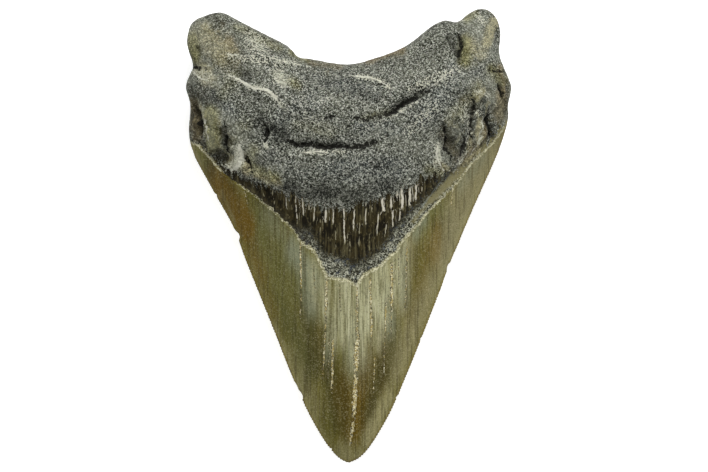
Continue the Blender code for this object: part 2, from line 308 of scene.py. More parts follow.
# %% [markdown]
# ## More vertices for the serrations
#
# The serrations are only about 0.7 mm apart, so the rim needs a vertex every 0.15 mm, while the rest of the
# tooth doesn't. subdivide_edges with its cuts only on the edges that run along the rim gives just that.

# %% Split the rim
SHOULDER_HEIGHT = 22.0  # the serrations end where the root begins
RIM_CUTS = 3
ON_OUTLINE = 0.12  # a vertex of the rim lies this near the outline

bm = bmesh.new()
bm.from_mesh(fine)
places = np.array([v.co for v in bm.verts]) / MM
off_outline, _ = nearest_on(outline, places[:, :2])
on_rim = (off_outline < ON_OUTLINE) & (places[:, 1] < SHOULDER_HEIGHT)
bm.verts.ensure_lookup_table()
rim_edges = [
    edge
    for edge in bm.edges
    if on_rim[edge.verts[0].index]
    and on_rim[edge.verts[1].index]
    and abs(edge.verts[0].co.z - edge.verts[1].co.z) < 0.4 * edge.calc_length()
]
bmesh.ops.subdivide_edges(bm, edges=rim_edges, cuts=RIM_CUTS, use_grid_fill=True)
bmesh.ops.triangulate(bm, faces=[face for face in bm.faces if len(face.verts) > 4])
bm.to_mesh(fine)
bm.free()
fine.update()
print(len(rim_edges), "rim edges split,", len(fine.vertices), "vertices")

# %% [markdown]
# ## Relief
#
# From here on the surface is moved along its normals. Each feature adds its own height to one array, and
# all of it is applied at the end. First the places, the normals and the distances that everything reads.

# %% Places, normals and distances
def read(mesh, what, width=3):
    """One of the mesh's vertex lists as an array."""
    values = np.empty(len(mesh.vertices) * width)
    mesh.vertices.foreach_get(what, values)
    return values.reshape(-1, width)


places = read(fine, "co") / MM
normals = read(fine, "normal")
xy = places[:, :2]
off_outline, outline_row = nearest_on(outline, xy)
RIM_HEIGHTS = [(-53, 1.7), (-40, 2.1), (-15, 3.0), (10, 4.4), (22, 5.6), (32, 7.2), (53, 8.6)]  # y and z
rim_height = np.interp(places[:, 1], *zip(*RIM_HEIGHTS))
upper = places[:, 2] > rim_height
enamel_side = np.where(upper, side_of(ENAMEL_LINE, xy), side_of(LABIAL_LINE, xy))
bone_side = np.where(upper, side_of(BONE_LINE, xy), enamel_side - 0.5)
mottle_side = np.where(upper, side_of(MOTTLE_LINE, xy), 20.0)
above = ease(normals[:, 2], -0.15, 0.25)
relief = np.zeros(len(places))
print(int(upper.sum()), "vertices on the bulging face")

# %% [markdown]
# **The enamel's edge.** Enamel is a hard shell over softer dentine. Where it ends it has chipped away in
# small scallops and stands up as a thin lip. The lip is a narrow ridge just inside the line, and noise
# along the line makes it come and go.

# %% Lip of the enamel
LIP_HEIGHT, LIP_WIDTH, LIP_INSET = 0.22, 0.55, 0.35
STEP_DEPTH = 0.22  # the band lies this much lower right behind the lip

scallops = rough(places, 2.2, 2, 3.0)
lip = np.exp(-(((enamel_side + LIP_INSET + 0.25 * scallops) / LIP_WIDTH) ** 2))
relief += LIP_HEIGHT * lip * (0.75 + 0.6 * scallops)
behind = ease(enamel_side, 0.0, 0.7) * (1 - ease(enamel_side, 1.2, 3.0))
relief -= STEP_DEPTH * behind
print("the lip covers", int((lip > 0.5).sum()), "vertices")

# %% [markdown]
# **The bourlette and the bone.** The band behind the enamel is finely ribbed towards the tip, and its lower
# part is granular. Where the bone starts it ends in small tongues over the band.

# %% Ribs of the band and the bone's edge
RIB_HEIGHT, GRANULE_HEIGHT, TONGUE_HEIGHT = 0.16, 0.1, 0.18

in_band = ease(enamel_side, 0.2, 1.0) * (1 - ease(bone_side, -0.6, 0.4)) * upper
ribs = np.array([noise.noise(Vector((x * 1.1 + 0.35 * math.sin(y * 0.8), y * 0.12, 7))) for x, y in xy])
relief += RIB_HEIGHT * ribs * in_band
granules = rough(places, 1.1, 2, 11.0)
relief += GRANULE_HEIGHT * granules * in_band * ease(-mottle_side, -0.5, 0.8)
tongues = rough(places, 1.6, 2, 17.0)
tongue_edge = ease(bone_side + 0.9 * tongues, -0.2, 0.5) * (1 - ease(bone_side, 1.5, 5.0)) * upper
relief += TONGUE_HEIGHT * tongue_edge
print("the highest rib is", round(RIB_HEIGHT * float((ribs * in_band).max()), 2), "mm high")

# %% [markdown]
# **Bone.** The root's bone is pitted all over, which noise at three scales does: slow swellings, knobs of
# about 2 mm, and pits of under a millimetre. Near its sides it is worn into crags: sharp winding ridges
# with deep hollows between them. A ridge is where noise crosses zero, so one minus its size makes a sharp
# crest. Strokes say where the crags are. The same crests colour the bone later. noise_vector is shifted by
# a seed that comes from the clock unless it is set, and then no two runs would give the same crags.

# %% Pitted bone
SWELL_HEIGHT, KNOB_HEIGHT, PIT_HEIGHT = 0.22, 0.13, 0.1
CRAG_HEIGHT, CRAG_SEED = 1.15, 3
CRAG_BASE = 0.62  # what is above this is raised, and the hollows beside it are lowered
LABIAL_CRAGS = 0.45  # how craggy the margin of the hidden face is
CRAGS = [  # x1, y1, x2, y2, half width and strength
    (-36, 32, -34, 20, 4, 1), (-31, 26, -28, 18, 3.6, 0.9), (-36, 42, -33, 36, 3.6, 0.8),
    (-33, 49, -26, 44, 4.5, 0.5), (24, 25, 26, 18, 3.6, 0.8), (31, 32, 31, 22, 4.4, 1),
    (36, 36, 36, 28, 3, 0.9), (27, 46, 28, 41, 2.6, 0.6), (-24, 17, -17, 14, 2, 0.5),
    (-12, 42, -4, 39, 2, 0.5), (2, 40, 12, 42, 2, 0.4), (32, 50, 35, 44, 2.6, 0.5),
]


def crests(places, spacing, layer):
    """Sharp winding crests, 1 on a crest and lower away from it, spacing apart and drawn out along Y."""
    found = []
    for x, y, z in places:
        place = Vector((x / spacing + layer, y * 0.55 / spacing, z / spacing))
        place += 0.5 * noise.noise_vector(place * 0.8)
        found.append(1 - 2 * abs(noise.noise(place)))
    return np.array(found)


noise.seed_set(CRAG_SEED)
in_bone = ease(bone_side, 0.0, 0.8)
crag = strokes(xy, CRAGS) * in_bone
crag = np.where(above > 0.5, crag, LABIAL_CRAGS * in_bone * (1 - ease(off_outline, 2.0, 8.0)))
crest = 0.65 * crests(places, 3.2, 3.0) + 0.35 * crests(places, 1.5, 8.0)
slow = rough(places, 7.0, 2, 23.0)
knobs = rough(places, 2.4, 3, 31.0)
pits = rough(places, 0.95, 2, 41.0)
relief += in_bone * (SWELL_HEIGHT * slow + KNOB_HEIGHT * knobs + PIT_HEIGHT * pits)
relief += crag * CRAG_HEIGHT * (crest - CRAG_BASE)
print("the bone covers", int((in_bone > 0.5).sum()), "vertices")

# %% [markdown]
# **Cracks, pits and swellings.** The ones that show in the picture are carved as strokes. A crack is a
# line of points with a depth at each, and a half width. Its lower lip stands a little proud, as in old
# bone. Noise makes it wind and vary.

# %% Cracks and pits of the root
CRACKS = [  # points as x, y and depth, then the half width
    ([(-15.6, 22, 0), (-13.6, 21.9, 0.7), (-11.5, 21, 1), (-9, 21.3, 0.7), (-6.4, 20.7, 1),
      (-3.4, 20.5, 0.9), (-0.8, 20.7, 0.8), (2.4, 20.6, 0.6), (4.7, 21.3, 0.7), (7.2, 22.3, 0.5),
      (9, 23.2, 0.2), (12.6, 24.8, 0)], 0.46),
    ([(-11.5, 29.2, 0), (-5.3, 27.6, 0.3), (0.1, 27.4, 0.35), (5, 27.2, 0.6), (7.6, 27.9, 0.5),
      (10, 28.6, 0.9), (12.6, 30.5, 1), (15.2, 31.9, 0.8), (17.4, 33, 0.5), (20.3, 35.3, 0.3),
      (23.8, 37.8, 0)], 0.46),
    ([(25.6, 47, 0.3), (26.3, 44.6, 0.8), (25.8, 42.6, 0.9), (25.2, 40.8, 0.3)], 0.3),
    ([(34.4, 36.2, 0.3), (35.4, 33.8, 1), (36, 31.6, 0.5)], 0.34),
    ([(-19.6, 25.8, 0.5), (-18.9, 24, 1), (-19.3, 22.4, 0.8), (-19.8, 21.6, 0.2)], 0.42),
    ([(-36.9, 39.8, 0.8), (-34.6, 39, 0.5), (-31.4, 38.6, 0)], 0.36),
    ([(-36, 30, 0.3), (-34.6, 27.6, 0.8), (-34.4, 24.6, 0.7), (-33.6, 22.2, 0.3)], 0.36),
    ([(-29.6, 28, 0), (-28.6, 24.6, 0.6), (-28.4, 21, 0.7), (-27.6, 19, 0.2)], 0.34),
    ([(21.6, 26.4, 0.2), (22.8, 23.6, 0.8), (22.6, 20.6, 0.7), (24, 17.8, 0.4)], 0.38),
    ([(26.2, 24.6, 0.2), (27, 21.6, 0.7), (25.8, 18.6, 0.5), (24.4, 16.2, 0.2)], 0.3),
    ([(28, 33.6, 0.2), (29.4, 30.4, 0.7), (28.8, 27.2, 0.5), (28.2, 23.8, 0.4), (29.6, 20.6, 0.2)], 0.3),
    ([(33.4, 30.6, 0.3), (32.2, 27.6, 0.8), (32.8, 24.6, 0.9), (33.8, 22.6, 0.4)], 0.34),
    ([(-24.6, 19.6, 0.1), (-23.4, 17.4, 0.7), (-22.4, 15, 0.3)], 0.34),
    ([(31, 41, 0), (33.6, 38.6, 0.4), (36.2, 38.4, 0.5)], 0.3),
]
PITS = [  # x, y, radius and depth
    (-35.6, 28, 1.6, 0.8), (-35.2, 24.4, 1.5, 0.8), (-29.8, 18.8, 1.7, 1), (-27.6, 18.4, 1.6, 0.7),
    (23.8, 21.4, 1.7, 1), (22.2, 24.6, 1, 0.6), (30.4, 23.8, 1.2, 0.6), (32.7, 23.6, 1, 0.8),
    (29.3, 28.2, 1, 0.6), (26.2, 20.6, 0.9, 0.5), (32.2, 27, 1.1, 0.8), (-23.8, 17.4, 1.1, 0.5),
    (-33.9, 37.4, 1.7, 0.35), (34.4, 29, 0.9, 0.6), (-29.4, 43, 0.8, 0.3), (21, 26.6, 0.6, 0.4),
    (-15.6, 37, 2.2, 0.3), (-22, 44.6, 2, 0.25), (-35.4, 43.2, 1.4, 0.4), (25.2, 44, 1.2, 0.5),
]
SWELLINGS = [  # x1, y1, x2, y2, half width and height: what stands proud, or is worn away where negative
    (-32, 28.2, -31.4, 21.6, 1.1, 0.7), (-25.4, 20.4, -25.8, 16.6, 0.8, 0.6),
    (-26.4, 15.8, -29.2, 15.4, 0.7, 0.5), (20.8, 20.6, 20.5, 17.4, 0.8, 0.5),
    (31.4, 27.2, 29.4, 21.4, 0.5, 0.5), (32.4, 44.4, 34.6, 50.2, 0.9, 0.3),
    (27.4, 26.4, 24.4, 15.6, 0.5, 0.4), (-28.4, 36.6, -16, 32.4, 0.8, 0.35), (-16, 32.4, -8, 29, 0.9, 0.25),
    (-12, 24.6, 6, 24, 1.8, -0.45), (1.4, 38, 8, 36.8, 0.7, 0.3), (8, 36.8, 11, 34, 0.7, 0.2),
    (-28.6, 42.6, -13.6, 40.6, 1, 0.35), (-26, 39, -19, 37.6, 2.2, -0.4), (-10, 34.6, 0, 33, 2.2, -0.3),
    (12, 26.6, 24, 34.4, 1.6, 0.3), (12, 33, 20, 38.6, 1.8, 0.2), (-24.6, 29, -21, 26, 2, -0.3),
    (-12.6, 18.8, 6, 18.6, 1, 0.3), (29.6, 36, 34, 39.6, 1.2, -0.4), (-34.6, 33.6, -30, 33, 1.4, 0.4),
    (24, 28, 26, 34, 1.4, 0.35), (-31, 47.6, -27, 45, 1, -0.4), (28.6, 47, 31, 45, 1, 0.3),
    (16, 24, 19, 28, 2, -0.25), (-34.4, 46.8, -33.6, 49, 1.2, 0.35), (-24.4, 49, -18, 45.4, 0.9, 0.3),
]

LIP_SHARE = 0.3  # of a crack's depth

for points, half_width in CRACKS:
    line = smooth_curve(points)
    far, row = nearest_on(line, xy)
    depth = np.maximum(line[row, 2], 0) * above * (0.9 + 0.5 * knobs)
    relief -= depth * np.exp(-(((far + 0.5 * pits) / half_width) ** 2))
    below = xy[:, 1] < line[row, 1]
    relief += LIP_SHARE * depth * below * np.exp(-(((far - 1.8 * half_width) / half_width) ** 2))
for x, y, radius, depth in PITS:
    far = np.linalg.norm(xy - (x, y), axis=1)
    relief -= above * depth * (1 - ease(far + 0.4 * knobs * radius, 0.35 * radius, 1.15 * radius))
for *stroke, height in SWELLINGS:
    relief += above * in_bone * height * strokes(xy, [(*stroke, 1.0)])
print(len(CRACKS), "cracks,", len(PITS), "pits and", len(SWELLINGS), "swellings")

# %% [markdown]
# **The hidden faces.** The picture doesn't show the labial face or the root's end. On teeth like this one
# the root's end is porous, with small holes where vessels went in, and the labial enamel is smooth with a
# few shallow folds where it meets the root. The holes are scattered by seeded random draws.

# %% Pores of the root's end and folds of the labial enamel
PORES, PORE_DEPTH = 26, 0.6  # the depth is a share of the pore's radius
FOLD_HEIGHT, WAVE_HEIGHT = 0.22, 0.035


def ripples(across, along, layer):
    """Noise in long ripples that run up and down the tooth."""
    return np.array([noise.noise(Vector((x * across, y * along, layer))) for x, y in xy])


rng = np.random.default_rng(7)
end_rows = np.flatnonzero((outline[:, 1] > 39.5) & (np.abs(outline[:, 0]) < 33))
for row in rng.choice(end_rows, PORES, replace=False):
    height = rng.uniform(4.0, 12.0)
    centre = np.array((*outline[row], height))
    far = np.linalg.norm(places - centre, axis=1)
    radius = rng.uniform(0.5, 1.0)
    relief -= PORE_DEPTH * radius * np.exp(-((far / radius) ** 2))
folds = ripples(0.45, 0.05, 53)
near_root = ease(enamel_side, -16, -1) * (1 - ease(enamel_side, -0.5, 0.3))
relief += FOLD_HEIGHT * folds * (1 - above) * near_root
relief += WAVE_HEIGHT * ripples(0.7, 0.045, 61) * (1 - ease(enamel_side, -0.8, 0.0))
print(PORES, "pores, and folds up to", round(FOLD_HEIGHT * float(np.abs(folds).max()), 2), "mm high")

# %% [markdown]
# **Serrations.** The cutting edge is a fine saw, worn almost smooth. Each tooth of the saw is a small
# round bump, pushed straight out from the outline. How far along the edge a vertex is comes from the
# length walked round the outline. Noise varies the height of the bumps, as wear does. Where the edge is
# chipped it is pushed in instead.

# %% Serrations and the flat resting face
SERRATION_PITCH, SERRATION_HEIGHT = 0.72, 0.22
REST_CLEARANCE = 0.02  # what lies this low is the flat spot the tooth rests on, and stays flat
CHIPS = [  # x, y, radius and depth of what has broken out of the cutting edge
    (-26, 0.3, 1, 0.55), (-11.2, -37.2, 1, 0.4), (23.8, -7.2, 0.8, 0.4), (11.6, -37.8, 0.5, 0.2),
    (-4.4, -50, 0.5, 0.2), (-31, 9.6, 0.5, 0.2), (17, -24, 0.5, 0.15),
]

along = walked[outline_row]
saw = np.abs(np.sin(math.pi * along / SERRATION_PITCH)) - 0.6
wear = 0.75 + 0.7 * np.array([noise.noise(Vector((s * 0.35, 0, 71))) for s in along])
out = normals * (1, 1, 0)
out /= np.maximum(np.linalg.norm(out, axis=1), 0.2)[:, None]
crown = 1 - ease(places[:, 1], SHOULDER_HEIGHT - 3, SHOULDER_HEIGHT)
cutting = crown * np.exp(-((off_outline / 0.45) ** 2))
pushed = SERRATION_HEIGHT * saw * wear * cutting
for x, y, radius, depth in CHIPS:
    far = np.linalg.norm(xy - (x, y), axis=1)
    pushed -= depth * (1 - ease(far, 0.5 * radius, 1.2 * radius)) * np.exp(-((off_outline / 0.8) ** 2))
moved = places + out * pushed[:, None]

lying = places[:, 2] < REST_CLEARANCE
relief *= ease(places[:, 2], 0.0, 0.8) * (0.25 + 0.75 * ease(off_outline, 0.0, 0.8))
moved += normals * relief[:, None]
moved[:, 2] = np.maximum(moved[:, 2], 0)
moved[lying] = places[lying]
fine.vertices.foreach_set("co", (moved * MM).ravel())
fine.update()
print("relief from", round(float(relief.min()), 2), "to", round(float(relief.max()), 2), "mm")

# %% [markdown]
# ## Stains
#
# Minerals have soaked into the tooth in patches. Each kind of stain is painted with soft strokes, straight
# onto the vertices, as an attribute that the material reads. On the crown, the pale fan and the pale
# blue-grey patches are partly a painted sheen as well. The material breaks the patches up with noise, so
# that no stroke shows as such. First the stains of the crown, which are wide and soft. The picture shows
# nothing of the hidden face, so that one is given stains of the same kinds.

# %% Paint the crown's stains
CROWN_SQUASH = 0.45
CROWN_STAINS = {  # x1, y1, x2, y2, half width and strength
    "green": [
        (-22, 2, -13, -12, 3.6, 0.7), (-15, -14, -10, -30, 3, 0.6), (17, 7, 23, 2, 2.8, 0.8),
        (-34.4, 19.6, -31, 15.6, 1.8, 0.5), (-4, -26, -3, -40, 3, 0.4),
    ],
    "warm": [
        (29, 14, 22, -4, 3.6, 0.9), (33.6, 20.6, 27, 8, 2.6, 0.9), (20, -10, 11, -30, 3, 0.65),
        (14, -2, 12.6, -16, 2.2, 0.7), (-7, -40, -13.4, -28, 1.4, 0.4),
    ],
    "shade": [
        (-9.6, -17, -8, -30, 2.6, 0.8), (-13.4, -20, -10, -28, 2.4, 0.5), (-5, -30, -2.6, -42, 2.4, 0.75),
        (10.6, -22, 8.6, -32, 2.4, 0.6), (-10.9, -45.6, -5.4, -51.2, 0.35, 0.6),
        (-16, 4.6, -21, 8.8, 0.9, 0.4), (15.4, 2, 16, -4, 1, 0.35), (7.4, -31, 5, -42, 1.8, 0.7),
        (20, 2.6, 21.4, 0.6, 1.3, 0.3), (-1, -48, -0.4, -50, 1, 0.5), (-33, 17.6, -29, 13.2, 1, 0.4),
    ],
    "brown": [
        (-6.4, -24, -2, -36, 2.8, 0.5), (4.2, -28, 3.8, -34, 3.4, 0.7), (4, -33, 3.4, -42, 3.2, 1),
        (8, -24, 7.6, -34, 2.4, 0.7), (-1.6, -36, 0.6, -44, 3.2, 0.9), (-31.6, 14.6, -27.6, 8.6, 2, 0.9),
        (-18.6, 0, -13, -14, 2.6, 0.25), (17.6, -4, 14.6, -17, 2, 0.35), (0, -50, 0.2, -51, 2, 0.4),
    ],
    "orange": [
        (-30.6, 12.6, -26.4, 6.6, 1.9, 0.7), (-25.2, 5, -23.6, 2.2, 1.9, 1.2),
        (-26.2, 5.6, -23, -1, 2, 0.6), (-23.4, -2, -20.4, -9, 2.2, 0.5), (-21.6, -8, -17.6, -18, 1.6, 0.35),
        (20.6, 0.4, 19.8, -3.6, 2.2, 0.5), (18.8, -4, 17, -11, 1.8, 0.25), (2.4, -36, 1.6, -47, 1.4, 0.35),
        (-3.2, -36, -2.2, -42, 1.4, 0.25),
    ],
    "edging": [
        (16.6, -19.6, 9.6, -37, 0.8, 0.35), (9.6, -37.4, 4.2, -47.8, 1.4, 0.8),
        (-11, -36.8, -5.4, -48, 1, 0.4), (-2.4, -51, 2.2, -51.8, 1.6, 0.6),
        (-17.4, -20.6, -11, -36.8, 0.7, 0.55), (34, 18.6, 20, -13, 0.8, 0.5),
        (-22.6, -6, -18, -18, 0.6, 0.3), (-29.6, 10.4, -26.4, 3, 0.4, 0.35),
        (-36.6, 20.6, -34.8, 17, 0.7, 0.5),
    ],
    # pale blue-grey patches, partly a painted sheen on the enamel
    "blue": [
        (-19, 5, -12.6, -2.4, 2, 0.4), (-13, -3, -8, -10, 2.2, 0.75), (-10.4, -9, -8.6, -16, 2, 0.6),
        (8.6, -14, 9.6, -20, 2, 0.6), (12.6, -4.4, 12.8, -14, 1.8, 0.5), (26, 11.6, 31.4, 18.6, 1.2, 0.4),
        (1, -22, 0.8, -28, 2.4, 0.5), (-4.4, -21, -4.6, -27, 1.8, 0.4), (15.6, 0.6, 17.6, 4, 1.2, 0.6),
    ],
    # the pale fan below the V: milky enamel, partly a painted sheen
    "pale_fan_and_sheen": [
        (-5.4, -11, -5.2, -17, 2, 0.6), (-1, -13, -1, -20, 2.8, 0.95), (3.4, -13, 3.4, -20, 2.8, 1),
        (7.4, -9.6, 7.4, -17, 2.6, 0.9), (11, -6, 10.8, -12, 2, 0.65), (2.4, -20, 2.4, -25, 3.6, 0.6),
        (13.2, -1.6, 13, -5, 1.4, 0.5), (-8, -8, -7.6, -14, 1.8, 0.45), (6.6, -19, 6.8, -23, 2.4, 0.5),
        (1.6, -24, 1.6, -28, 2, 0.3), (-3, -18, -3, -23, 2.4, 0.5),
    ],
}
LABIAL_STAINS = {
    "green": [
        (-14, 10, -8, -16, 5, 0.8), (12, -6, 6, -30, 4, 0.7), (24, 16, 18, 2, 3, 0.6),
    ],
    "warm": [
        (18, 20, 12, 0, 4, 0.8), (-24, 20, -20, 2, 3, 0.7), (0, -34, 2, -46, 3, 0.6),
    ],
    "brown": [
        (2, 22, 4, -4, 5, 0.8), (-10, -18, -5, -38, 3, 0.7), (28, 22, 24, 8, 2, 0.6),
    ],
    "shade": [
        (-4, 26, -6, 8, 2.4, 0.6), (9, -12, 6, -26, 1.6, 0.5), (-28, 22, -25, 8, 1.6, 0.5),
    ],
    "orange": [
        (-20, 16, -17, 0, 2.4, 0.6), (14, 4, 12, -8, 1.6, 0.4),
    ],
    "edging": [
        (-26, 0, -12, -35, 1.2, 0.6), (26, 0, 12, -35, 1.2, 0.6),
    ],
    # blue-grey patches of the hidden face, partly a painted sheen too
    "blue": [
        (-2, 4, -1, -16, 2.4, 0.7), (8, 24, 10, 12, 2, 0.5), (-14, 26, -12, 14, 2, 0.5),
    ],
    # the pale fan of the hidden face, partly a painted sheen too
    "pale_fan_and_sheen": [
        (0, 29, 0, 22, 4, 0.5), (-10, 29, -9, 23, 3, 0.4),
    ],
}


def store(mesh, name, values):
    """Keeps one number for each vertex as an attribute that materials can read."""
    kept = mesh.attributes.new(name, "FLOAT", "POINT")
    kept.data.foreach_set("value", np.asarray(values, np.float32))


for name, marks in CROWN_STAINS.items():
    lingual, labial = (strokes(xy, face, CROWN_SQUASH) for face in (marks, LABIAL_STAINS[name]))
    store(fine, name, lingual * above + labial * (1 - above))
print(len(CROWN_STAINS), "stains on the crown")

# %% [markdown]
# The stains of the root are smaller and crustier. The first list is the pale lime that has settled on
# ledges and in scars, and two of its strokes, along the lower lip of the long crack, are a painted
# highlight. "hole" is where dark mud stays in the deepest places, and "flank" is the smoother strip of the
# band along the enamel.

# %% Paint the root's stains
ROOT_STAINS = {  # x1, y1, x2, y2, half width and strength
    "deposit_and_highlight": [
        (-25.7, 20, -25.4, 17.6, 1.2, 0.8), (-25.4, 17.6, -26.8, 15.6, 1.2, 0.9),
        (-26.8, 15.6, -29.4, 15.9, 0.7, 0.8), (-28.4, 37.6, -22.6, 34.6, 0.4, 0.5),
        (-22.6, 34.6, -19.2, 33.9, 0.5, 0.9), (-19.2, 33.9, -17.2, 32.4, 0.5, 0.9),
        (-17.2, 32.4, -15, 29.6, 0.45, 0.55), (1.8, 37, 6.8, 36.4, 0.35, 0.75),
        (6.8, 36.4, 9.6, 34.3, 0.4, 0.6), (-16.6, 37.8, -15.2, 36.2, 1.4, 0.6),
        (20.7, 20.8, 20.5, 17.6, 0.7, 0.8), (-19.4, 21.4, -19, 20.8, 0.5, 0.95),
        (-22.8, 45.6, -20.8, 43.6, 1.9, 0.4), (31.2, 27, 30.4, 21.6, 0.4, 0.7),
        # the strokes at y 19.5 here and below paint a highlight on the lower lip of the long crack
        (24.6, 15, 27.4, 20, 0.35, 0.6), (-10.4, 19.4, -5.2, 19.5, 0.6, 0.55),
        (-3.4, 19.5, -1, 19.6, 0.4, 0.5), (14.4, 34, 22.6, 38, 0.9, 0.35), (10, 27.8, 15.6, 31, 0.6, 0.3),
        (-36.6, 38.4, -32.6, 36.4, 0.6, 0.5), (-34, 37.6, -33, 36.8, 1.5, 0.5),
        (-10, 28, -4, 24.6, 1.6, 0.12), (-2, 25, 6, 25.6, 1.8, 0.1), (21, 36, 25, 38.6, 1.5, 0.2),
        (-28, 41.6, -13, 40.2, 0.8, 0.35), (-12, 31, -2, 32, 3, 0.08), (26.6, 27.6, 31, 29, 0.6, 0.4),
        (31.6, 49.8, 29.6, 51.6, 0.8, 0.3), (-34.4, 27.8, -33.6, 22.6, 0.4, 0.5),
        (14, 24, 20, 30, 1.5, 0.2), (29.6, 33.4, 33, 33, 0.5, 0.4), (27, 31.4, 28.4, 24, 0.35, 0.4),
    ],
    "beige": [
        (-34.2, 38.8, -33, 36.8, 2, 0.85), (34, 50, 32, 44.8, 1.3, 0.95), (30.6, 26.8, 30.2, 21.8, 1, 0.9),
        (-33.4, 46.5, -28.6, 41.5, 4, 0.6), (28.8, 44.4, 31, 42.6, 2.2, 0.55),
        (-23, 14.8, -16, 12.2, 1.3, 0.5), (20.4, 17.4, 22.8, 15.6, 1, 0.7), (26.8, 31, 31, 33.4, 2, 0.4),
        (-27.4, 17.4, -26.8, 16.6, 1.6, 0.6), (19.2, 9, 24.6, 14.8, 0.8, 0.6),
        (24.6, 14.8, 31.6, 21, 0.7, 0.8), (28.6, 24, 27.4, 18.8, 0.8, 0.5),
    ],
    "olive": [
        (-32, 28.6, -31.4, 21, 2, 0.9), (-36.2, 46, -36, 41.4, 1.8, 0.8), (27.4, 45.4, 27, 40.6, 1.9, 0.75),
        (-13.4, 36.2, -11.8, 35, 1.6, 0.5), (-13, 43, -9.6, 41.4, 1.3, 0.6),
        (27.6, 50.6, 29.4, 51.8, 1.3, 0.55), (-26, 48.6, -16, 43.6, 1.5, 0.4),
        (3.4, 27.4, 9, 28.6, 1.4, 0.35), (33.6, 39, 35.8, 36, 1.8, 0.6), (-25, 16.6, -17, 13.6, 1.8, 0.6),
        (18.4, 15.6, 21.4, 14.6, 1.6, 0.5), (-28, 20, -24, 26, 3, 0.3), (-12, 26, -4, 24, 2, 0.3),
        (25, 28, 30, 34, 3, 0.35), (-29, 33, -26, 38, 2.6, 0.35), (-22, 20, -23, 17, 2, 0.5),
    ],
    "rust": [
        (-27.8, 45.8, -27, 43.8, 1.9, 0.55), (35.8, 33.6, 35.2, 28, 1.7, 0.75),
        (4.6, 41.2, 12.4, 43.2, 1.3, 0.7), (-24.4, 18.6, -23.6, 15.4, 1.4, 0.6),
        (27, 18, 31.4, 22.6, 1.8, 0.5), (-36, 31, -35.2, 23, 1.8, 0.6), (-9, 40.6, -2, 39.6, 1.1, 0.45),
        (22.6, 24, 25.4, 18, 2.2, 0.35), (31.8, 25.8, 31, 23, 0.8, 0.6),
        (-29.4, 49.4, -30.4, 44.4, 1.4, 0.3), (35.4, 39.6, 36.6, 35.4, 1, 0.5),
    ],
    "slate": [
        (-30, 34, -27.4, 28, 2.2, 0.7), (2.6, 25.6, 12, 24, 2.6, 0.6), (-8, 32, -16, 26, 3.6, 0.5),
        (18, 28, 26, 40, 3.4, 0.6), (-4, 15, 12, 16, 4, 0.6), (33, 41, 34, 46, 1.8, 0.5),
        (-6, 36, 6, 33, 2.6, 0.5), (30, 38, 24, 32, 2.4, 0.5), (-18, 18, -10, 14, 3, 0.35),
    ],
    "flank": [
        (15, 3.4, 19.2, 8.4, 0.7, 0.5), (19.2, 8.4, 24.6, 13.8, 1, 0.9), (24.6, 13.8, 31.8, 21, 1.3, 1),
        (31.8, 21, 37, 27, 1.3, 1), (-36, 21.6, -24, 11.6, 0.6, 0.5),
    ],
    "hole": [
        (-35.8, 28.8, -35.2, 23.6, 1.2, 0.9), (-30.6, 19.8, -29.2, 18.2, 1.2, 0.9),
        (23.8, 22.4, 24.2, 19.4, 1.4, 0.9), (21.8, 25.2, 22, 23.4, 0.8, 0.7),
        (32.4, 27.2, 32.6, 25.2, 0.9, 0.85), (33, 24.4, 33.2, 22.6, 0.8, 0.85),
        (29, 29, 29.4, 27.2, 0.8, 0.7), (26.4, 22.6, 26, 18.8, 0.9, 0.6), (-24, 18.4, -23.4, 16, 0.8, 0.6),
        (25.8, 46.4, 26, 41, 0.6, 0.6), (35.2, 35.4, 36, 31.6, 0.7, 0.8), (-28.8, 25, -28.2, 20.6, 1, 0.5),
        (-37, 40.4, -34.6, 39.4, 0.5, 0.6), (33.8, 30.6, 34.4, 28.6, 0.7, 0.6),
        (-26.4, 14.2, -21, 12.6, 0.7, 0.7), (-31.2, 51, -29, 49.4, 0.8, 0.5),
        (9.8, 29.4, 20.4, 36.6, 0.9, 0.25), (18, 13.6, 22.4, 14.2, 0.6, 0.5),
    ],
}
for name, marks in ROOT_STAINS.items():
    store(fine, name, strokes(xy, marks) * above)
print(len(ROOT_STAINS), "stains on the root")

# %% [markdown]
# Under its grain the bone is darker in some places and paler in others, a few millimetres across. Both go
# into one attribute, with noise, below zero where it is darker.

# %% Light and dark places of the root
SHADES = [  # x1, y1, x2, y2, half width and strength
    (-14, 11, 2, 9.6, 2.8, 0.6), (2, 9.6, 10, 12.6, 2.4, 0.5), (-20, 13.6, -12, 11, 1.8, 0.5),
    (-20.6, 26.6, -15, 23.6, 2.2, 0.7), (-13, 22, 0, 21.4, 1.3, 0.55), (-28.6, 40.4, -23.6, 37.4, 2, 0.7),
    (0.6, 34.4, 6, 32, 2, 0.5), (9, 29.4, 17.6, 34.2, 1.1, 0.7), (-36.4, 30, -35, 22, 1.2, 0.4),
    (22, 25, 25, 18, 1.6, 0.3), (23.6, 46.4, 25.6, 41, 1.2, 0.6), (-30.4, 26, -28.4, 21, 1.2, 0.4),
    (-14.6, 28, -8, 28.6, 1.6, 0.4), (4, 26.2, 8.6, 27, 1, 0.4), (-2, 14.6, 8, 15.6, 3, 0.3),
    (-24, 33.6, -19, 31.6, 1, 0.4), (15, 39.6, 22, 44.6, 1.6, 0.3), (-33.6, 33.6, -29, 31, 1.6, 0.3),
    (31.6, 29, 34.6, 22.8, 1.4, 0.45), (-8.6, 36.4, -2, 35.6, 1.2, 0.35), (-22, 42.6, -16, 40.2, 1.2, 0.3),
]
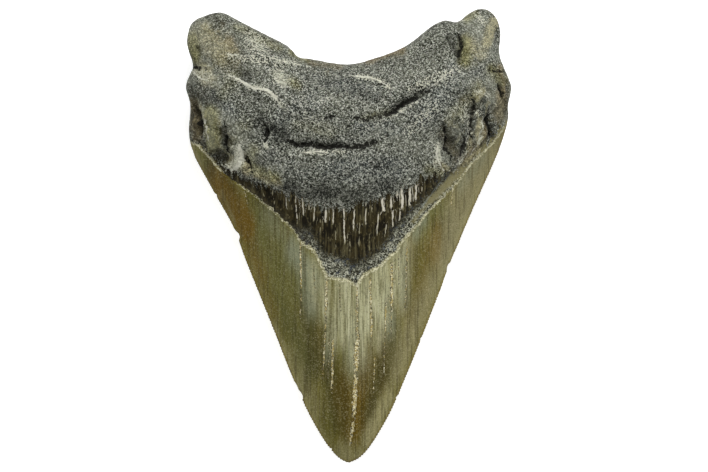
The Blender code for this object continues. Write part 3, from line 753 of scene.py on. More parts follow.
LIGHTS = [  # the same
    (-12, 32.6, -2.6, 31, 1, 0.3), (-13.6, 19.4, 1, 18.2, 1.5, 0.3), (7, 24.6, 15, 20.6, 2.6, 0.4),
    (9, 30, 13, 25.4, 1.6, 0.35), (-30, 28.6, -22, 19, 2.6, 0.65), (-25, 16.6, -18, 13.6, 1.5, 0.55),
    (18, 34.6, 25, 39.6, 1.8, 0.15), (-34, 49, -26, 46, 2.6, 0.35), (-27, 43.6, -14, 41, 1.2, 0.2),
    (26.6, 50.6, 31.6, 51, 1.4, 0.5), (-7, 26.4, -1, 25.4, 1.2, 0.25), (-18.6, 18, -15, 14, 2, 0.3),
    (26, 38.6, 33, 33.6, 2.2, 0.4), (-36.6, 36.6, -30, 35.6, 1.5, 0.45), (12, 36, 18, 40.6, 1.4, 0.35),
    (2, 38.8, 8, 38, 0.8, 0.4), (17.6, 18, 19.6, 22.6, 1.3, 0.5), (-15.4, 37.2, -14.6, 36, 1.3, 0.3),
    (-36, 47, -29, 40, 4.4, 0.6), (28, 50, 32, 43, 3.4, 0.65), (-34.4, 38.6, -33, 36.6, 2, 0.5),
    (33.6, 50, 32.4, 44, 1.4, 0.7), (-34.4, 38.6, -33, 36.6, 2, 0.9), (-16.2, 37.6, -15.2, 36.4, 1.4, 1),
    (-35, 30, -34.6, 22, 2, 0.5), (24, 24, 24, 18, 2.4, 0.6), (-31.8, 28.4, -31.4, 21, 1.3, 1),
    (30.6, 26.8, 30.2, 21.8, 1, 0.7), (-26, 19.6, -26.4, 16.4, 1.6, 0.7), (20.8, 20.6, 20.6, 17.4, 1, 0.6),
    (33, 36, 35.6, 27, 2.4, 0.55), (-22.6, 45.4, -20.6, 43.8, 1.6, 0.4),
]
TONE_NOISE = 0.22
tone = strokes(xy, LIGHTS) - strokes(xy, SHADES) + TONE_NOISE * rough(places, 4.0, 3, 101.0)
store(fine, "tone", tone)
print("tones run from", round(float(tone.min()), 2), "to", round(float(tone.max()), 2))

# %% [markdown]
# **Fine lines.** The enamel splits along its length as it dries out, and the band behind it is ribbed the
# same way. Such lines are finer than the mesh, but a distance changes slowly, so the mesh can still carry
# it: each vertex stores how far it is from its nearest line, sideways, and the material draws the line
# where that passes zero. Halfway between two lines the nearest one changes, so the strength fades out
# before that.

# %% Lines of the crown and the band
FISSURES = [  # top x, top y, low x, low y, half width and strength
    (-11.1, -0.9, -11, -13, 0.42, 0.8), (-11, -11, -11.2, -20.4, 0.3, 0.55),
    (-5, -9.7, -5.3, -20, 0.55, 0.7), (-5.2, -18, -6, -34, 0.4, 0.65), (-3.6, -24, -3.9, -37, 0.5, 0.85),
    (2.1, -11.6, 1.9, -24, 0.45, 0.6), (2, -22, 1.8, -32.5, 1, 0.95), (1.8, -31, 1.2, -43, 0.85, 1),
    (1.4, -42, 0.3, -49, 0.6, 0.9), (5, -8.8, 5.3, -17, 0.4, 0.6), (5.2, -15, 5.4, -24.8, 0.45, 0.9),
    (6.2, -27.5, 5.7, -38.6, 0.28, 0.6), (8.8, -14.4, 8.5, -24, 0.34, 0.7),
    (8.6, -22, 8.2, -33.4, 0.28, 0.6), (10.1, -6, 10.1, -18, 0.55, 0.9), (10.1, -16, 9.9, -24.6, 0.3, 0.5),
    (13.7, -1.8, 13.4, -10, 0.4, 0.6), (13.5, -9, 13.2, -17.4, 0.34, 0.55),
    (11.6, -4, 11.8, -12, 0.3, 0.35), (-8, -7, -7.8, -13, 0.3, 0.35), (-2, -11, -1.8, -18, 0.3, 0.35),
    (24.3, 11.5, 23.8, 6.4, 0.24, 0.75), (-24.2, 10.6, -23.4, 7, 0.24, 0.7),
]
RIBS = [  # top x, top y, low x, low y, half width and strength
    (-17.6, 10.8, -17.2, 6.6, 0.34, 0.5), (-14.6, 10.4, -14.2, 5.6, 0.36, 0.65),
    (-12.2, 9.6, -12, 2.6, 0.34, 0.8), (-10.6, 9, -10.4, 4, 0.5, 0.75), (-9.2, 8.6, -9.2, 5.4, 0.36, 0.6),
    (-7.9, 8.2, -8, 2.8, 0.4, 0.7), (-5.4, 7.8, -5.3, 2.6, 0.55, 1), (-3.6, 6.8, -3.6, 2.4, 0.45, 0.8),
    (-1, 7, -0.9, -2.4, 0.5, 0.9), (1.3, 6.4, 1.2, 0.4, 0.45, 0.75), (4.1, 8.2, 4, 1.6, 0.4, 0.7),
    (5.6, 8.2, 5.4, 5.4, 0.45, 0.5), (6.9, 5.6, 6.6, -0.4, 0.4, 0.7), (7.8, 9, 8.2, 5.2, 0.8, 1),
    (9.8, 9.6, 10, 5.4, 0.5, 0.75), (11.3, 11.4, 11.2, 7.8, 0.42, 0.9), (12.4, 11.8, 12.6, 6, 0.65, 1),
    (14.2, 11.6, 14.3, 6.4, 0.6, 1), (15.8, 12.2, 15.6, 7.8, 0.5, 0.9), (10.4, 6.4, 10.2, 1.4, 0.4, 0.8),
    (12, 6.6, 11.8, 2.8, 0.4, 0.7), (2.6, 3, 2.4, -3, 0.34, 0.5), (-3, 1.6, -2.8, -3.4, 0.34, 0.45),
    (8.8, 3.4, 8.4, -0.6, 0.34, 0.6), (17.2, 12.8, 17, 9.6, 0.34, 0.6), (-20, 12, -19.6, 8.8, 0.3, 0.45),
    (0.2, 0.8, 0.4, -4.6, 0.3, 0.45), (-6.6, 4.6, -6.4, -0.6, 0.3, 0.4), (5, 1, 4.8, -4, 0.3, 0.4),
]
WIDE_FROM = 7  # right of this the ribs keep their full width
BLUE_STRIP = [  # the smooth blue-grey strip below the band's right end
    (21.6, 13, 19.4, 10, 0.3, 0.8), (19.4, 10, 16.8, 6.2, 0.4, 0.8), (23, 15.2, 21.6, 13, 0.25, 0.6),
]


def no_lines():
    """For each vertex, the distance, half width and strength of a line that is far away."""
    return np.full(len(xy), 9.0), np.full(len(xy), 0.3), np.zeros(len(xy))


def keep_lines(name, off, width, strength, reach):
    """Stores a kind of line, which fades out beyond its reach."""
    store(fine, name + "_off", off)
    store(fine, name + "_width", width)
    store(fine, name + "_strength", strength * (1 - ease(np.abs(off), reach, reach + 0.4)) * above)


def store_lines(name, rows, reach=0.75):
    """Stores the sideways distance to the nearest line, and that line's half width and strength."""
    x, y = xy[:, 0], xy[:, 1]
    off, width, strength = no_lines()
    for top_x, top_y, low_x, low_y, half_width, full in rows:
        down = (top_y - y) / (top_y - low_y)
        sideways = x - top_x - (low_x - top_x) * down
        ends = ease(down, -0.04, 0.06) * (1 - ease(down, 0.75, 1.05))
        nearer = (np.abs(sideways) < np.abs(off)) & (ends > 0)
        off[nearer], width[nearer], strength[nearer] = sideways[nearer], half_width, (full * ends)[nearer]
    keep_lines(name, off, width, strength, reach)


store_lines("fissure", FISSURES)
thinned = [(*ends, (1.0 if ends[0] > WIDE_FROM else 0.8) * width, full) for *ends, width, full in RIBS]
store_lines("rib", thinned, 0.6)
store_lines("strip", BLUE_STRIP)
print(len(FISSURES), "lengths of fissure and", len(RIBS), "ribs")

# %% [markdown]
# The root's cracks wind, and so do its pale scars, so those follow smooth curves. One of the pale lines, on
# the lower lip of the long crack, is a painted highlight. The sign of the distance says on which side of
# the curve a vertex is.

# %% Cracks and scars of the root
SCARS_AND_HIGHLIGHTS = [  # points as x, y and strength, then the half width
    ([(-29, 37.8, 0.2), (-25.1, 36.2, 0.6), (-22.1, 34.4, 0.9), (-19.2, 34, 1), (-17.6, 32.8, 1),
      (-16.2, 31, 0.5), (-14.4, 29.4, 0.1)], 0.5),
    ([(1.2, 37.2, 0.4), (3.4, 36.9, 1), (6, 36.5, 0.9), (8, 35.6, 0.7), (9.6, 34.4, 0.5)], 0.3),
    ([(17, 33.4, 0.2), (19.4, 34.8, 0.6), (22.6, 37.4, 0.6), (26, 39.6, 0.3)], 0.3),
    ([(-30, 42.4, 0.3), (-25, 42, 0.5), (-20, 41.8, 0.5), (-14.6, 40.4, 0.5), (-9, 39.6, 0.2)], 0.3),
    ([(31.6, 27.4, 0.5), (30.6, 24.4, 0.9), (29.6, 21.4, 0.8), (28.6, 19, 0.4)], 0.26),
    ([(27.6, 27.4, 0.4), (27.8, 23.8, 0.8), (26.6, 20.2, 0.8), (24.8, 16.6, 0.7),
      (23.4, 14.6, 0.3)], 0.26),
    # a painted highlight along the lower lip of the long crack
    ([(-10, 19.3, 0.6), (-7.4, 19.6, 0.8), (-5.2, 19.4, 0.5)], 0.3),
    ([(-25.2, 20.8, 0.6), (-24.6, 19, 0.9), (-25.2, 17, 1), (-26.8, 15.4, 1), (-29.4, 15.6, 0.6)], 0.7),
    ([(20.8, 21.2, 0.6), (20.3, 19.4, 1), (20.8, 17.2, 0.8), (22, 15.4, 0.4)], 0.36),
    ([(30.6, 33.6, 0.3), (33, 31.4, 0.5), (33, 28.4, 0.4)], 0.26),
    ([(-33.6, 28.6, 0.3), (-32.8, 25.4, 0.7), (-32.2, 22.4, 0.5)], 0.3),
    ([(-36.4, 38.6, 0.5), (-34.4, 36.6, 0.7), (-32.2, 36.6, 0.5)], 0.3),
    ([(10.6, 29.6, 0.3), (13, 28.9, 0.4), (16.4, 31.6, 0.4)], 0.26),
]


def store_curves(name, rows, widen=1.0):
    """Stores the signed distance to the nearest curve, and that curve's half width and strength."""
    off, width, strength = no_lines()
    for points, half_width in rows:
        line = smooth_curve(points)
        far, row = nearest_on(line, xy)
        run = np.gradient(line[:, :2], axis=0)[row]
        across = xy - line[row, :2]
        side = np.sign(run[:, 0] * across[:, 1] - run[:, 1] * across[:, 0])
        nearer = far < np.abs(off)
        off[nearer], width[nearer] = (far * side)[nearer], widen * half_width
        strength[nearer] = np.maximum(line[row, 2], 0)[nearer]
    keep_lines(name, off, width, strength, 1.2)


store_curves("crack", CRACKS, 2.2)  # mud darkens a crack for twice its carved width
store_curves("scar_and_highlight", SCARS_AND_HIGHLIGHTS)
print(len(CRACKS), "cracks and", len(SCARS_AND_HIGHLIGHTS), "scars")

# %% [markdown]
# The distances, the crests and the depth of the relief are stored too, so that colour and shape agree. The
# depth darkens the hollows as painted shade. The lip of the enamel is thick in some places and almost
# missing in others.

# %% Store what the relief knows
LIP_STRENGTHS = [  # where the lip of the enamel is thick
    (-11, -1, -5, -9, 1.6, 0.75), (-5, -9.6, 0.6, -10.6, 1.6, 1), (2, -10.4, 8.6, -5.4, 1.8, 1),
    (8.6, -5.4, 14.2, 1.4, 1.8, 0.9), (14.2, 1.4, 30, 19, 1.6, 0.55), (-36, 22, -30, 16, 1.5, 0.5),
    (-25, 12, -12, 1, 1.4, 0.34), (16.2, 2, 17.4, 5, 1.2, 1), (30, 19, 36, 25, 1.5, 0.6),
]
KNOWN = [  # name, values, lowest and highest
    ("enamel_side", enamel_side, -30, 30), ("bone_side", bone_side, -30, 30),
    ("mottle_side", mottle_side, -30, 30), ("rim", off_outline, 0, 12), ("hollow_shade", -relief, 0, 1),
    ("crag", crag, 0, 1), ("crest", crest, 0, 1),
]
for name, values, lowest, highest in KNOWN:
    store(fine, name, np.clip(values, lowest, highest))
store(fine, "lip_strength", np.where(upper, strokes(xy, LIP_STRENGTHS), 0.4))
print(len(fine.attributes), "attributes on the mesh")

# %% [markdown]
# ## The material, from small parts
#
# One finish covers the tooth, because enamel, band and bone fade into each other. To keep its tree
# readable, short functions add one node each and return its output. What is used many times, such as one
# fissure of the enamel or one stain, is a node group with named sockets, built once and placed with its own
# values.

# %% Nodes and links
def wire(tree, socket, value):
    """Links a socket, or sets it if the value is plain."""
    if isinstance(value, bpy.types.NodeSocket):
        tree.links.new(value, socket)
    elif isinstance(value, tuple) and socket.type == "RGBA":
        socket.default_value = (*value[:3], 1.0)
    else:
        socket.default_value = value


def add(tree, kind, output=0, settings=None, **values):
    """Adds a node, fills its sockets and returns one output. In a socket's name, _ stands for a space."""
    node = tree.nodes.new("ShaderNode" + kind)
    for key, value in (settings or {}).items():
        setattr(node, key, value)
    for key, value in values.items():
        numbered = key[0] == "i" and key[1:].isdigit()
        wire(tree, node.inputs[int(key[1:]) if numbered else key.replace("_", " ")], value)
    return node.outputs[output]


print("a socket is linked or set by the same call")

# %% Arithmetic, ramps and mixes
def calc(tree, operation, a, b=0.0, c=0.0):
    """One step of arithmetic."""
    return add(tree, "Math", settings={"operation": operation}, i0=a, i1=b, i2=c)


def scale_add(tree, value, by, plus):
    """A value times another, plus a third."""
    return calc(tree, "MULTIPLY_ADD", value, by, plus)


def times(tree, *values):
    """The product of several values."""
    product = values[0]
    for value in values[1:]:
        product = calc(tree, "MULTIPLY", product, value)
    return product


def ramp(tree, value, low, high, start=0.0, end=1.0):
    """A smooth step from start to end as the value goes from low to high."""
    return add(
        tree, "MapRange", settings={"interpolation_type": "SMOOTHSTEP"},
        Value=value, From_Min=low, From_Max=high, To_Min=start, To_Max=end,
    )


def mix(tree, factor, a, b, how="MIX"):
    """Two colours mixed."""
    return add(tree, "Mix", 2, settings={"data_type": "RGBA", "blend_type": how}, i0=factor, i6=a, i7=b)


print("each of these adds one node, and times one for every value after the first")

# %% Noises and stored numbers
def cloud(tree, place, spacing, detail=2.0, roughness=0.5, stretch=(1, 1, 1), shift=0.0):
    """Noise from 0 to 1 with lumps spacing millimetres apart, drawn out along an axis by stretch."""
    scale = tuple(1 / (spacing * s) for s in stretch)
    scaled = add(tree, "Mapping", Vector=place, Scale=scale, Location=(shift, shift, shift))
    return add(tree, "TexNoise", Vector=scaled, Scale=1.0, Detail=detail, Roughness=roughness)


def cells(tree, place, spacing, shift=0.0):
    """Grains spacing millimetres apart, each with a brightness of its own from 0 to 1."""
    scaled = add(tree, "Mapping", Vector=place, Scale=(1 / spacing,) * 3, Location=(shift, shift, shift))
    return add(tree, "SeparateColor", Color=add(tree, "TexVoronoi", 1, Vector=scaled, Scale=1.0))


def attribute(tree, name):
    """A number that was stored on the mesh."""
    return add(tree, "Attribute", 2, settings={"attribute_name": name})


print("noise is read in millimetres")

# %% Groups and colours
def new_group(name, inputs, outputs):
    """An empty node group with its sockets, and its input and output nodes."""
    tree = bpy.data.node_groups.new(name, "ShaderNodeTree")
    for socket_name, kind in inputs:
        tree.interface.new_socket(socket_name, in_out="INPUT", socket_type="NodeSocket" + kind)
    for socket_name, kind in outputs:
        tree.interface.new_socket(socket_name, in_out="OUTPUT", socket_type="NodeSocket" + kind)
    return tree, tree.nodes.new("NodeGroupInput").outputs, tree.nodes.new("NodeGroupOutput").inputs


def use(tree, group, **values):
    """Places a group, fills its sockets and returns its outputs."""
    node = tree.nodes.new("ShaderNodeGroup")
    node.node_tree = group
    for key, value in values.items():
        wire(tree, node.inputs[key.replace("_", " ")], value)
    return node.outputs


def srgb(red, green, blue):
    """A colour as a picture gives it, 0 to 255, turned into the light it stands for."""
    shares = [c / 255 for c in (red, green, blue)]
    return tuple(s / 12.92 if s < 0.04045 else ((s + 0.055) / 1.055) ** 2.4 for s in shares)


def over(tree, below, colour, *masks, how="MIX"):
    """A colour, 0 to 255, laid over what is below it as far as the product of the masks says."""
    return mix(tree, times(tree, *masks), below, srgb(*colour), how)


print("a mid grey of 128 reflects", round(srgb(128, 128, 128)[0], 3))

# %% [markdown]
# **Stain group.** A stain is a colour laid over another where its painted strength, plus some noise, is
# high enough. A high softness keeps the stroke's own gradual edge, as in enamel, and a low one makes it
# crusty, as on bone. From here on, t is the node tree that is being filled.

# %% Stain group
stain_group, get, put = new_group(
    "stain",
    [("Colour", "Color"), ("Stain", "Color"), ("Amount", "Float"), ("Noise", "Float"), ("Most", "Float"),
     ("Softness", "Float")],
    [("Colour", "Color")],
)
t = stain_group
HALF_STAINED = 0.45  # the amount at which half of the stain shows
eaten = scale_add(t, get["Noise"], 1.3, -0.65)
reach = scale_add(t, eaten, ramp(t, get["Amount"], 0.0, 0.4), get["Amount"])
low = calc(t, "SUBTRACT", HALF_STAINED, get["Softness"])
high = calc(t, "ADD", HALF_STAINED, get["Softness"])
share = times(t, ramp(t, reach, low, high), ramp(t, get["Amount"], 0.02, 0.12), get["Most"])
wire(t, put["Colour"], mix(t, share, get["Colour"], get["Stain"]))


def stain(tree, below, name, colour, noise_field, most, softness):
    """The stain that is stored under a name, over what is below it."""
    return use(
        tree, stain_group, Colour=below, Stain=srgb(*colour), Amount=attribute(tree, name),
        Noise=noise_field, Most=most, Softness=softness,
    )["Colour"]


print("the stain group has", len(t.nodes), "nodes")

# %% [markdown]
# **Line group.** It draws the stored lines: 1 on the line, fading to 0 at its half width. The shake moves
# the line sideways here and there, so none is quite straight.

# %% Line group
line_group, get, put = new_group(
    "line", [("Off", "Float"), ("Shake", "Float"), ("Half Width", "Float"), ("Strength", "Float")],
    [("Mark", "Float")],
)
t = line_group
off_line = calc(t, "ABSOLUTE", calc(t, "ADD", get["Off"], get["Shake"]))
wire(t, put["Mark"], times(t, ramp(t, off_line, get["Half Width"], 0.0), get["Strength"]))


def draw_lines(tree, name, shake):
    """The lines stored under a name, as a mask."""
    return use(
        tree, line_group, Off=attribute(tree, name + "_off"), Shake=shake,
        Half_Width=attribute(tree, name + "_width"), Strength=attribute(tree, name + "_strength"),
    )["Mark"]


print("the line group has", len(t.nodes), "nodes")

# %% [markdown]
# **Crumb group.** Crumbly matter, such as the filling of a crack, is made of grains. Where its amount is
# high nearly every grain is there, and where it is low only a few. So the amount lowers the threshold that
# fine noise must pass.

# %% Crumb group
crumb_group, get, put = new_group(
    "crumbs", [("Amount", "Float"), ("Grain", "Float"), ("Fill", "Float")], [("Crumbs", "Float")]
)
t = crumb_group
raised = scale_add(t, get["Amount"], get["Fill"], get["Grain"])
wire(t, put["Crumbs"], times(t, ramp(t, raised, 0.62, 0.68), ramp(t, get["Amount"], 0.03, 0.15)))


def crumbs(tree, amount, grains, fill):
    """Crumbs where the amount is high. More of them where the fill is high too."""
    return use(tree, crumb_group, Amount=amount, Grain=grains, Fill=fill)["Crumbs"]


print("the crumb group has", len(t.nodes), "nodes")

# %% [markdown]
# ## Places and grains
#
# Object coordinates in millimetres, and the noises that everything shares: wide clouds, patches of two
# sizes, streaks along the tooth, a slow wander that bends lines, and two grains. A grain is mostly made of
# cells a quarter of a millimetre wide, each with its own brightness, because mineral grains have crisp
# edges and plain noise has none.

# %% Shared noises
finish = bpy.data.materials.new("fossil_tooth")
finish.use_nodes = True
t = finish.node_tree
shader = t.nodes["Principled BSDF"]
place = add(
    t, "VectorMath", settings={"operation": "SCALE"}, i0=add(t, "TexCoord", 3), Scale=1 / MM
)
patch = cloud(t, place, 2.4, 3.0, 0.6)
slow_cloud = cloud(t, place, 9.0, 2.0, 0.5, stretch=(1, 1.8, 1), shift=2.0)
streak = cloud(t, place, 0.8, 3.0, 0.6, stretch=(1, 18, 18))
thin_streak = cloud(t, place, 0.42, 2.0, 0.6, stretch=(1, 26, 26), shift=7.0)
grain = scale_add(t, cloud(t, place, 0.27, 2.0, 0.6, shift=3.0), 0.6, -0.01)
grain = scale_add(t, cells(t, place, 0.25), 0.42, grain)
other_grain = scale_add(t, cells(t, place, 0.24, 13.0), 0.45, 0.275)
fine_patch = cloud(t, place, 0.9, 3.0, 0.65, shift=61.0)
wander = scale_add(t, cloud(t, place, 3.0, 3.0, 0.6, shift=5.0), 0.8, -0.4)
soft_streak = scale_add(t, streak, 0.5, 0.25)
print("the finish starts with", len(t.nodes), "nodes")

# %% [markdown]
# ## Enamel
#
# Fossil enamel is olive, satin and streaked along its length. Slow noise gives its clouds, then come the
# stains, and long thin noise gives the streaks. Below the tip of the V it is milky and finely split, and
# the pale fan there carries a painted sheen, streaked like the enamel. Its cutting edge is worn thin and
# brown.

# %% Enamel and its stains
enamel = mix(t, ramp(t, slow_cloud, 0.3, 0.7), srgb(102, 96, 36), srgb(122, 115, 58))
CROWN_COLOURS = [  # attribute, colour and the most it covers
    ("green", (103, 107, 59), 0.7),
    ("warm", (142, 135, 98), 0.85),
    ("brown", (82, 66, 14), 0.92),
    ("shade", (64, 62, 30), 0.8),
    ("orange", (112, 86, 0), 0.95),
    ("edging", (154, 148, 104), 0.8),
    # blue-grey: partly a painted sheen
    ("blue", (136, 142, 118), 0.85),
    # pale fan: milky enamel with a painted sheen over it
    ("pale_fan_and_sheen", (178, 177, 141), 0.88),
]
for name, colour, most in CROWN_COLOURS:
    enamel = stain(t, enamel, name, colour, soft_streak, most, 0.45)
print(len(CROWN_COLOURS), "stains on the enamel")

# %% Streaks, specks and the worn edge
enamel = over(t, enamel, (152, 142, 84), ramp(t, streak, 0.5, 0.72), 0.2)
enamel = over(t, enamel, (58, 50, 16), ramp(t, thin_streak, 0.52, 0.34), 0.5)
# Painted sheen: the pale streaks over the fan, which is also milky enamel; dark streaks break it up
in_fan_and_sheen = ramp(t, attribute(t, "pale_fan_and_sheen"), 0.15, 0.8)
fan_sheen_streak = cloud(t, place, 0.4, 2.0, 0.6, stretch=(1, 24, 24), shift=91.0)
enamel = over(t, enamel, (96, 94, 56), in_fan_and_sheen, ramp(t, fan_sheen_streak, 0.48, 0.38), 0.55)
enamel = over(t, enamel, (206, 204, 170), in_fan_and_sheen, ramp(t, fan_sheen_streak, 0.54, 0.64), 0.5)
enamel = over(t, enamel, (40, 36, 14), ramp(t, other_grain, 0.45, 0.28, 0.0, 0.3))
enamel = over(t, enamel, (206, 200, 160), ramp(t, other_grain, 0.55, 0.72, 0.0, 0.16))
rim = attribute(t, "rim")
enamel = over(t, enamel, (132, 116, 50), ramp(t, rim, 0.7, 0.1), 0.5)
enamel = over(t, enamel, (62, 52, 26), ramp(t, rim, 0.35, 0.1), ramp(t, grain, 0.52, 0.6), 0.8)
print("with its streaks, the finish has", len(t.nodes), "nodes")

# %% [markdown]
# **Fissures.** Each is filled with cream crumbs and a few dark ones, so it reads as a row of grains and not
# as a drawn line. A few pale grains stray over the enamel too.

# %% Fissures of the enamel
fissure = draw_lines(t, "fissure", times(t, wander, 0.4))
long_grain = cloud(t, place, 0.3, 3.0, 0.75, stretch=(1, 3, 3), shift=81.0)
cream_crumbs = crumbs(t, fissure, long_grain, 0.32)
dark_crumbs = crumbs(t, fissure, other_grain, 0.01)
enamel = over(t, enamel, (86, 74, 34), fissure, 0.3)
cream = mix(t, ramp(t, other_grain, 0.4, 0.6), srgb(168, 150, 88), srgb(232, 226, 190))
enamel = mix(t, times(t, cream_crumbs, 0.9), enamel, cream)
enamel = over(t, enamel, (34, 28, 14), dark_crumbs, 0.85)
stray = times(t, ramp(t, other_grain, 0.68, 0.74), ramp(t, patch, 0.5, 0.62), 0.25)
enamel = over(t, enamel, (188, 180, 140), stray)
print("the enamel has", len(t.nodes), "nodes")

# %% [markdown]
# ## The band behind the enamel
#
# The bourlette is nearly black and finely ribbed, with cream mineral on the larger ribs. Those hang down
# from the bone's edge, and are whitest on the right. The band's low edge is a coarse grey, blue and brown
# grain, darker on its left.

# %% Band colour
rib_lines = draw_lines(t, "rib", wander)
hatching = cloud(t, place, 0.56, 2.0, 0.55, stretch=(1, 10, 10), shift=31.0)
rib_grain = cloud(t, place, 0.4, 2.0, 0.65, stretch=(1, 3, 3), shift=35.0)
band = mix(t, ramp(t, patch, 0.4, 0.62), srgb(26, 22, 10), srgb(54, 47, 24))
band = over(t, band, (90, 84, 58), ramp(t, hatching, 0.5, 0.66), 0.7)
band = over(t, band, (19, 16, 8), ramp(t, hatching, 0.46, 0.36), 0.7)
band = over(t, band, (124, 116, 84), ramp(t, rib_grain, 0.56, 0.68), 0.5)
rib_crumbs = crumbs(t, rib_lines, rib_grain, 0.34)
rib_colour = mix(t, ramp(t, rib_lines, 0.3, 0.8), srgb(134, 128, 98), srgb(226, 220, 202))
band = mix(t, times(t, rib_crumbs, 0.88), band, rib_colour)
print("the ribbed band is painted")

# %% Mottled edge of the band
grey_grain = mix(t, ramp(t, grain, 0.38, 0.52), srgb(40, 39, 28), srgb(96, 97, 82))
grey_grain = over(t, grey_grain, (196, 197, 176), ramp(t, grain, 0.5, 0.64), 0.9)
grey_grain = over(t, grey_grain, (44, 42, 30), ramp(t, fine_patch, 0.46, 0.36, 0.0, 0.75))
grey_grain = over(t, grey_grain, (168, 168, 146), ramp(t, fine_patch, 0.54, 0.66, 0.0, 0.45))
blue_patch = cloud(t, place, 1.3, 2.0, 0.6, shift=43.0)
grey_grain = over(t, grey_grain, (68, 76, 86), ramp(t, blue_patch, 0.54, 0.64), 0.6)
grey_grain = over(t, grey_grain, (34, 31, 20), ramp(t, other_grain, 0.4, 0.32, 0.0, 0.7))
grey_grain = stain(t, grey_grain, "flank", (136, 130, 92), patch, 0.88, 0.3)
grey_grain = over(t, grey_grain, (132, 140, 134), draw_lines(t, "strip", 0.0), 0.8)
mottle_at = scale_add(t, grain, 6.0, attribute(t, "mottle_side"))
left_shade = ramp(t, add(t, "SeparateXYZ", Vector=place), -6.0, -13.0, 0.0, 0.85)
grey_grain = over(t, grey_grain, (38, 34, 20), left_shade)
band = mix(t, ramp(t, mottle_at, 4.0, 2.6), band, grey_grain)
print("enamel and band have", len(t.nodes), "nodes")

# %% [markdown]
# ## Bone
#
# Grey, pitted bone is pepper and salt: dark pits and pale crests, each about a quarter of a millimetre
# across. Crags are olive and beige on their crests and brown in their hollows. The grain would hide a wide
# stain laid under it, so the tints of the stains and the light and dark places are laid over it again.

# %% Bone and its stains
bone = mix(t, ramp(t, slow_cloud, 0.35, 0.65), srgb(74, 78, 70), srgb(94, 97, 84))
ROOT_COLOURS = [  # attribute, colour, the most it covers and its softness
    ("slate", (82, 90, 94), 0.75, 0.42),
    ("olive", (124, 121, 74), 0.75, 0.4),
    ("rust", (122, 102, 60), 0.7, 0.35),
    ("beige", (166, 158, 118), 0.8, 0.3),
]
for name, colour, most, softness in ROOT_COLOURS:
    bone = stain(t, bone, name, colour, patch, most, softness)
print(len(ROOT_COLOURS), "stains on the bone")

# %% Crags, knobs and grain of the bone
crag_there, crest_there = attribute(t, "crag"), attribute(t, "crest")
wisp = cloud(t, place, 0.9, 3.0, 0.65, stretch=(1, 2.2, 2.2), shift=97.0)
crest_there = scale_add(t, calc(t, "SUBTRACT", wisp, 0.5), 0.7, crest_there)
bone = over(t, bone, (64, 58, 36), crag_there, ramp(t, crest_there, 0.62, 0.42), 0.6)
bone = over(t, bone, (166, 160, 124), crag_there, ramp(t, crest_there, 0.68, 0.9), 0.65)
knob = cloud(t, place, 1.3, 2.0, 0.55, shift=51.0)
bone = over(t, bone, (38, 38, 31), ramp(t, knob, 0.52, 0.34), 0.4)
bone = over(t, bone, (150, 152, 136), ramp(t, knob, 0.52, 0.7), 0.25)
grainy = scale_add(t, crag_there, -0.55, 1.0)
bone = over(t, bone, (26, 26, 20), ramp(t, grain, 0.52, 0.38), 0.8, grainy)
bone = over(t, bone, (186, 188, 172), ramp(t, grain, 0.5, 0.7), 0.62, grainy)
bone = over(t, bone, (228, 230, 216), ramp(t, other_grain, 0.61, 0.7), 0.62, grainy)
bone = over(t, bone, (20, 20, 15), ramp(t, other_grain, 0.38, 0.3), 0.5, grainy)
print("with the bone's grain, the finish has", len(t.nodes), "nodes")

# %% Tints and tones over the grain
for name, colour in (("olive", (124, 121, 74)), ("rust", (114, 102, 70)), ("beige", (166, 158, 118))):
    bone = over(t, bone, colour, ramp(t, attribute(t, name), 0.1, 0.9, 0.0, 0.7), how="COLOR")
tone = attribute(t, "tone")
bone = over(t, bone, (60, 60, 54), ramp(t, tone, 0.0, -0.9, 0.0, 0.8), how="MULTIPLY")
bone = over(t, bone, (120, 122, 106), ramp(t, tone, 0.0, 0.9, 0.0, 0.6), how="SCREEN")
print("three tints and two tones lie over the grain")

# %% [markdown]
# Last come the lime that has settled and the pale scars, partly a painted highlight on the lower lip of
# the long crack, the mud in the holes, painted shade in the hollows, and the dark cracks.

# %% Deposits, scars, holes and cracks
# Pale lime and scars; along the lower lip of the long crack they are a painted highlight
deposit_and_highlight = attribute(t, "deposit_and_highlight")
deposit_and_highlight_crumbs = crumbs(t, deposit_and_highlight, grain, 0.34)
bone = over(t, bone, (170, 170, 146), ramp(t, deposit_and_highlight, 0.2, 1.0), 0.5)
bone = over(t, bone, (212, 212, 192), deposit_and_highlight_crumbs, 0.8)
scar_and_highlight = draw_lines(t, "scar_and_highlight", times(t, wander, 0.5))
scar_and_highlight_crumbs = crumbs(t, scar_and_highlight, fine_patch, 0.4)
bone = over(t, bone, (222, 221, 204), scar_and_highlight_crumbs, 0.85)
hole_crumbs = crumbs(t, attribute(t, "hole"), patch, 0.32)
bone = over(t, bone, (44, 40, 26), hole_crumbs, 0.45)
# Painted shade: darker the deeper the relief lies
bone = over(t, bone, (54, 51, 36), ramp(t, attribute(t, "hollow_shade"), 0.2, 1.0, 0.0, 0.3))
crack = draw_lines(t, "crack", times(t, wander, 0.7))
crack_crumbs = crumbs(t, crack, fine_patch, 0.34)
bone = over(t, bone, (16, 15, 10), crack_crumbs, 0.92)
print("enamel, band and bone have", len(t.nodes), "nodes")
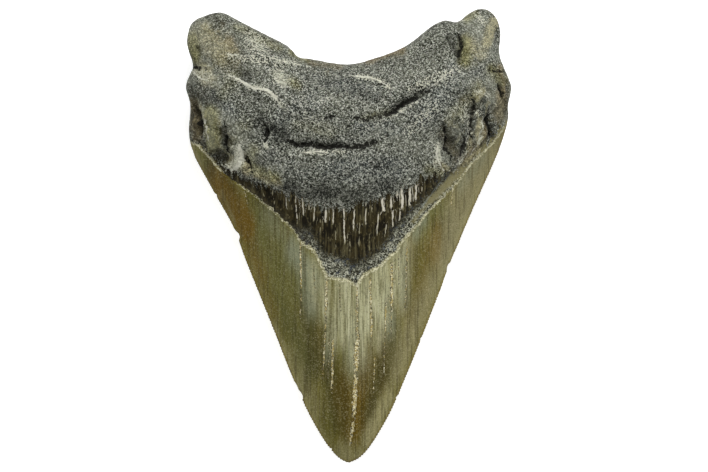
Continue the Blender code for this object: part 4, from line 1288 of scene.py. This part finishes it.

# %% [markdown]
# ## Put the three together
#
# The stored distances say where each begins. Noise added to a distance makes its border ragged, and noise
# that is drawn out along the tooth lets the bone hang over the band in small tongues. The lip of the enamel
# is pale, because it is chipped and full of mineral dust, and partly because a highlight on the raised lip
# is painted into its colour.

# %% Assemble the colours
edge_at = scale_add(t, fine_patch, 1.3, calc(t, "SUBTRACT", attribute(t, "enamel_side"), 0.65))
past_enamel = ramp(t, edge_at, -0.06, 0.06)
lip_strength = attribute(t, "lip_strength")
lip_reach = scale_add(t, lip_strength, -0.75, -0.1)
lip_start = ramp(t, edge_at, lip_reach, calc(t, "ADD", lip_reach, 0.25))
pale_lip_and_highlight = times(t, lip_start, ramp(t, edge_at, 0.2, 0.04))
pale_lip_and_highlight = times(t, pale_lip_and_highlight, ramp(t, lip_strength, 0.0, 0.5))
lip_crumbs = crumbs(t, pale_lip_and_highlight, grain, 0.2)
tongue = cloud(t, place, 0.7, 2.0, 0.6, stretch=(1, 6, 6), shift=71.0)
bone_at = scale_add(t, tongue, 6.0, calc(t, "SUBTRACT", attribute(t, "bone_side"), 3.0))
bone_at = scale_add(t, grain, 3.0, calc(t, "SUBTRACT", bone_at, 1.5))
past_bone = ramp(t, bone_at, -0.25, 0.35)
colour = mix(t, past_bone, band, bone)
colour = mix(t, past_enamel, enamel, colour)
# the pale lip: chipped enamel and mineral dust, partly a painted highlight
colour = over(t, colour, (150, 146, 104), pale_lip_and_highlight, 0.45)
colour = over(t, colour, (216, 212, 178), lip_crumbs, 0.85)
wire(t, shader.inputs["Base Color"], colour)
print("the colour is wired")

# %% [markdown]
# **Gloss and bump.** Enamel is polished and bone is dry, so the roughness changes where the enamel ends.
# Real relief is in the mesh already. What is finer than its vertices, such as single grains, is left to a
# bump.

# %% Gloss and bump
gloss = ramp(t, past_enamel, 0.0, 1.0, 0.34, 0.78)
gloss = scale_add(t, cream_crumbs, 0.3, gloss)
wire(t, shader.inputs["Roughness"], calc(t, "MINIMUM", gloss, 0.85))
shader.inputs["Specular IOR Level"].default_value = 0.16

enamel_height = scale_add(t, fissure, -0.08, times(t, thin_streak, 0.03))
enamel_height = scale_add(t, cream_crumbs, 0.08, enamel_height)
band_height = scale_add(t, rib_crumbs, 0.15, times(t, hatching, 0.4))
band_height = scale_add(t, grain, 0.3, band_height)
bone_height = scale_add(t, knob, 1.3, times(t, grain, 0.5))
bone_height = scale_add(t, crack, -0.5, bone_height)
bone_height = scale_add(t, scar_and_highlight_crumbs, 0.12, bone_height)
band_height = times(t, band_height, calc(t, "SUBTRACT", 1.0, past_bone))
height = calc(t, "ADD", band_height, times(t, bone_height, past_bone))
height = times(t, height, past_enamel)
height = scale_add(t, enamel_height, calc(t, "SUBTRACT", 1.0, past_enamel), height)
height = scale_add(t, lip_crumbs, 0.12, height)
wire(t, shader.inputs["Normal"], add(t, "Bump", Height=height, Distance=MM, Strength=1.0))
print("the finish has", len(t.nodes), "nodes")

# %% [markdown]
# ## Dress the tooth and finish
#
# The dressed tooth takes the place of the plain solid and rides on its body.

# %% Dress the tooth
fine.materials.clear()
fine.materials.append(finish)
fine.shade_smooth()
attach(tooth, "root")
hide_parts("megalodon_tooth")
print("the tooth has", sum(len(face.vertices) - 2 for face in fine.polygons), "triangles")
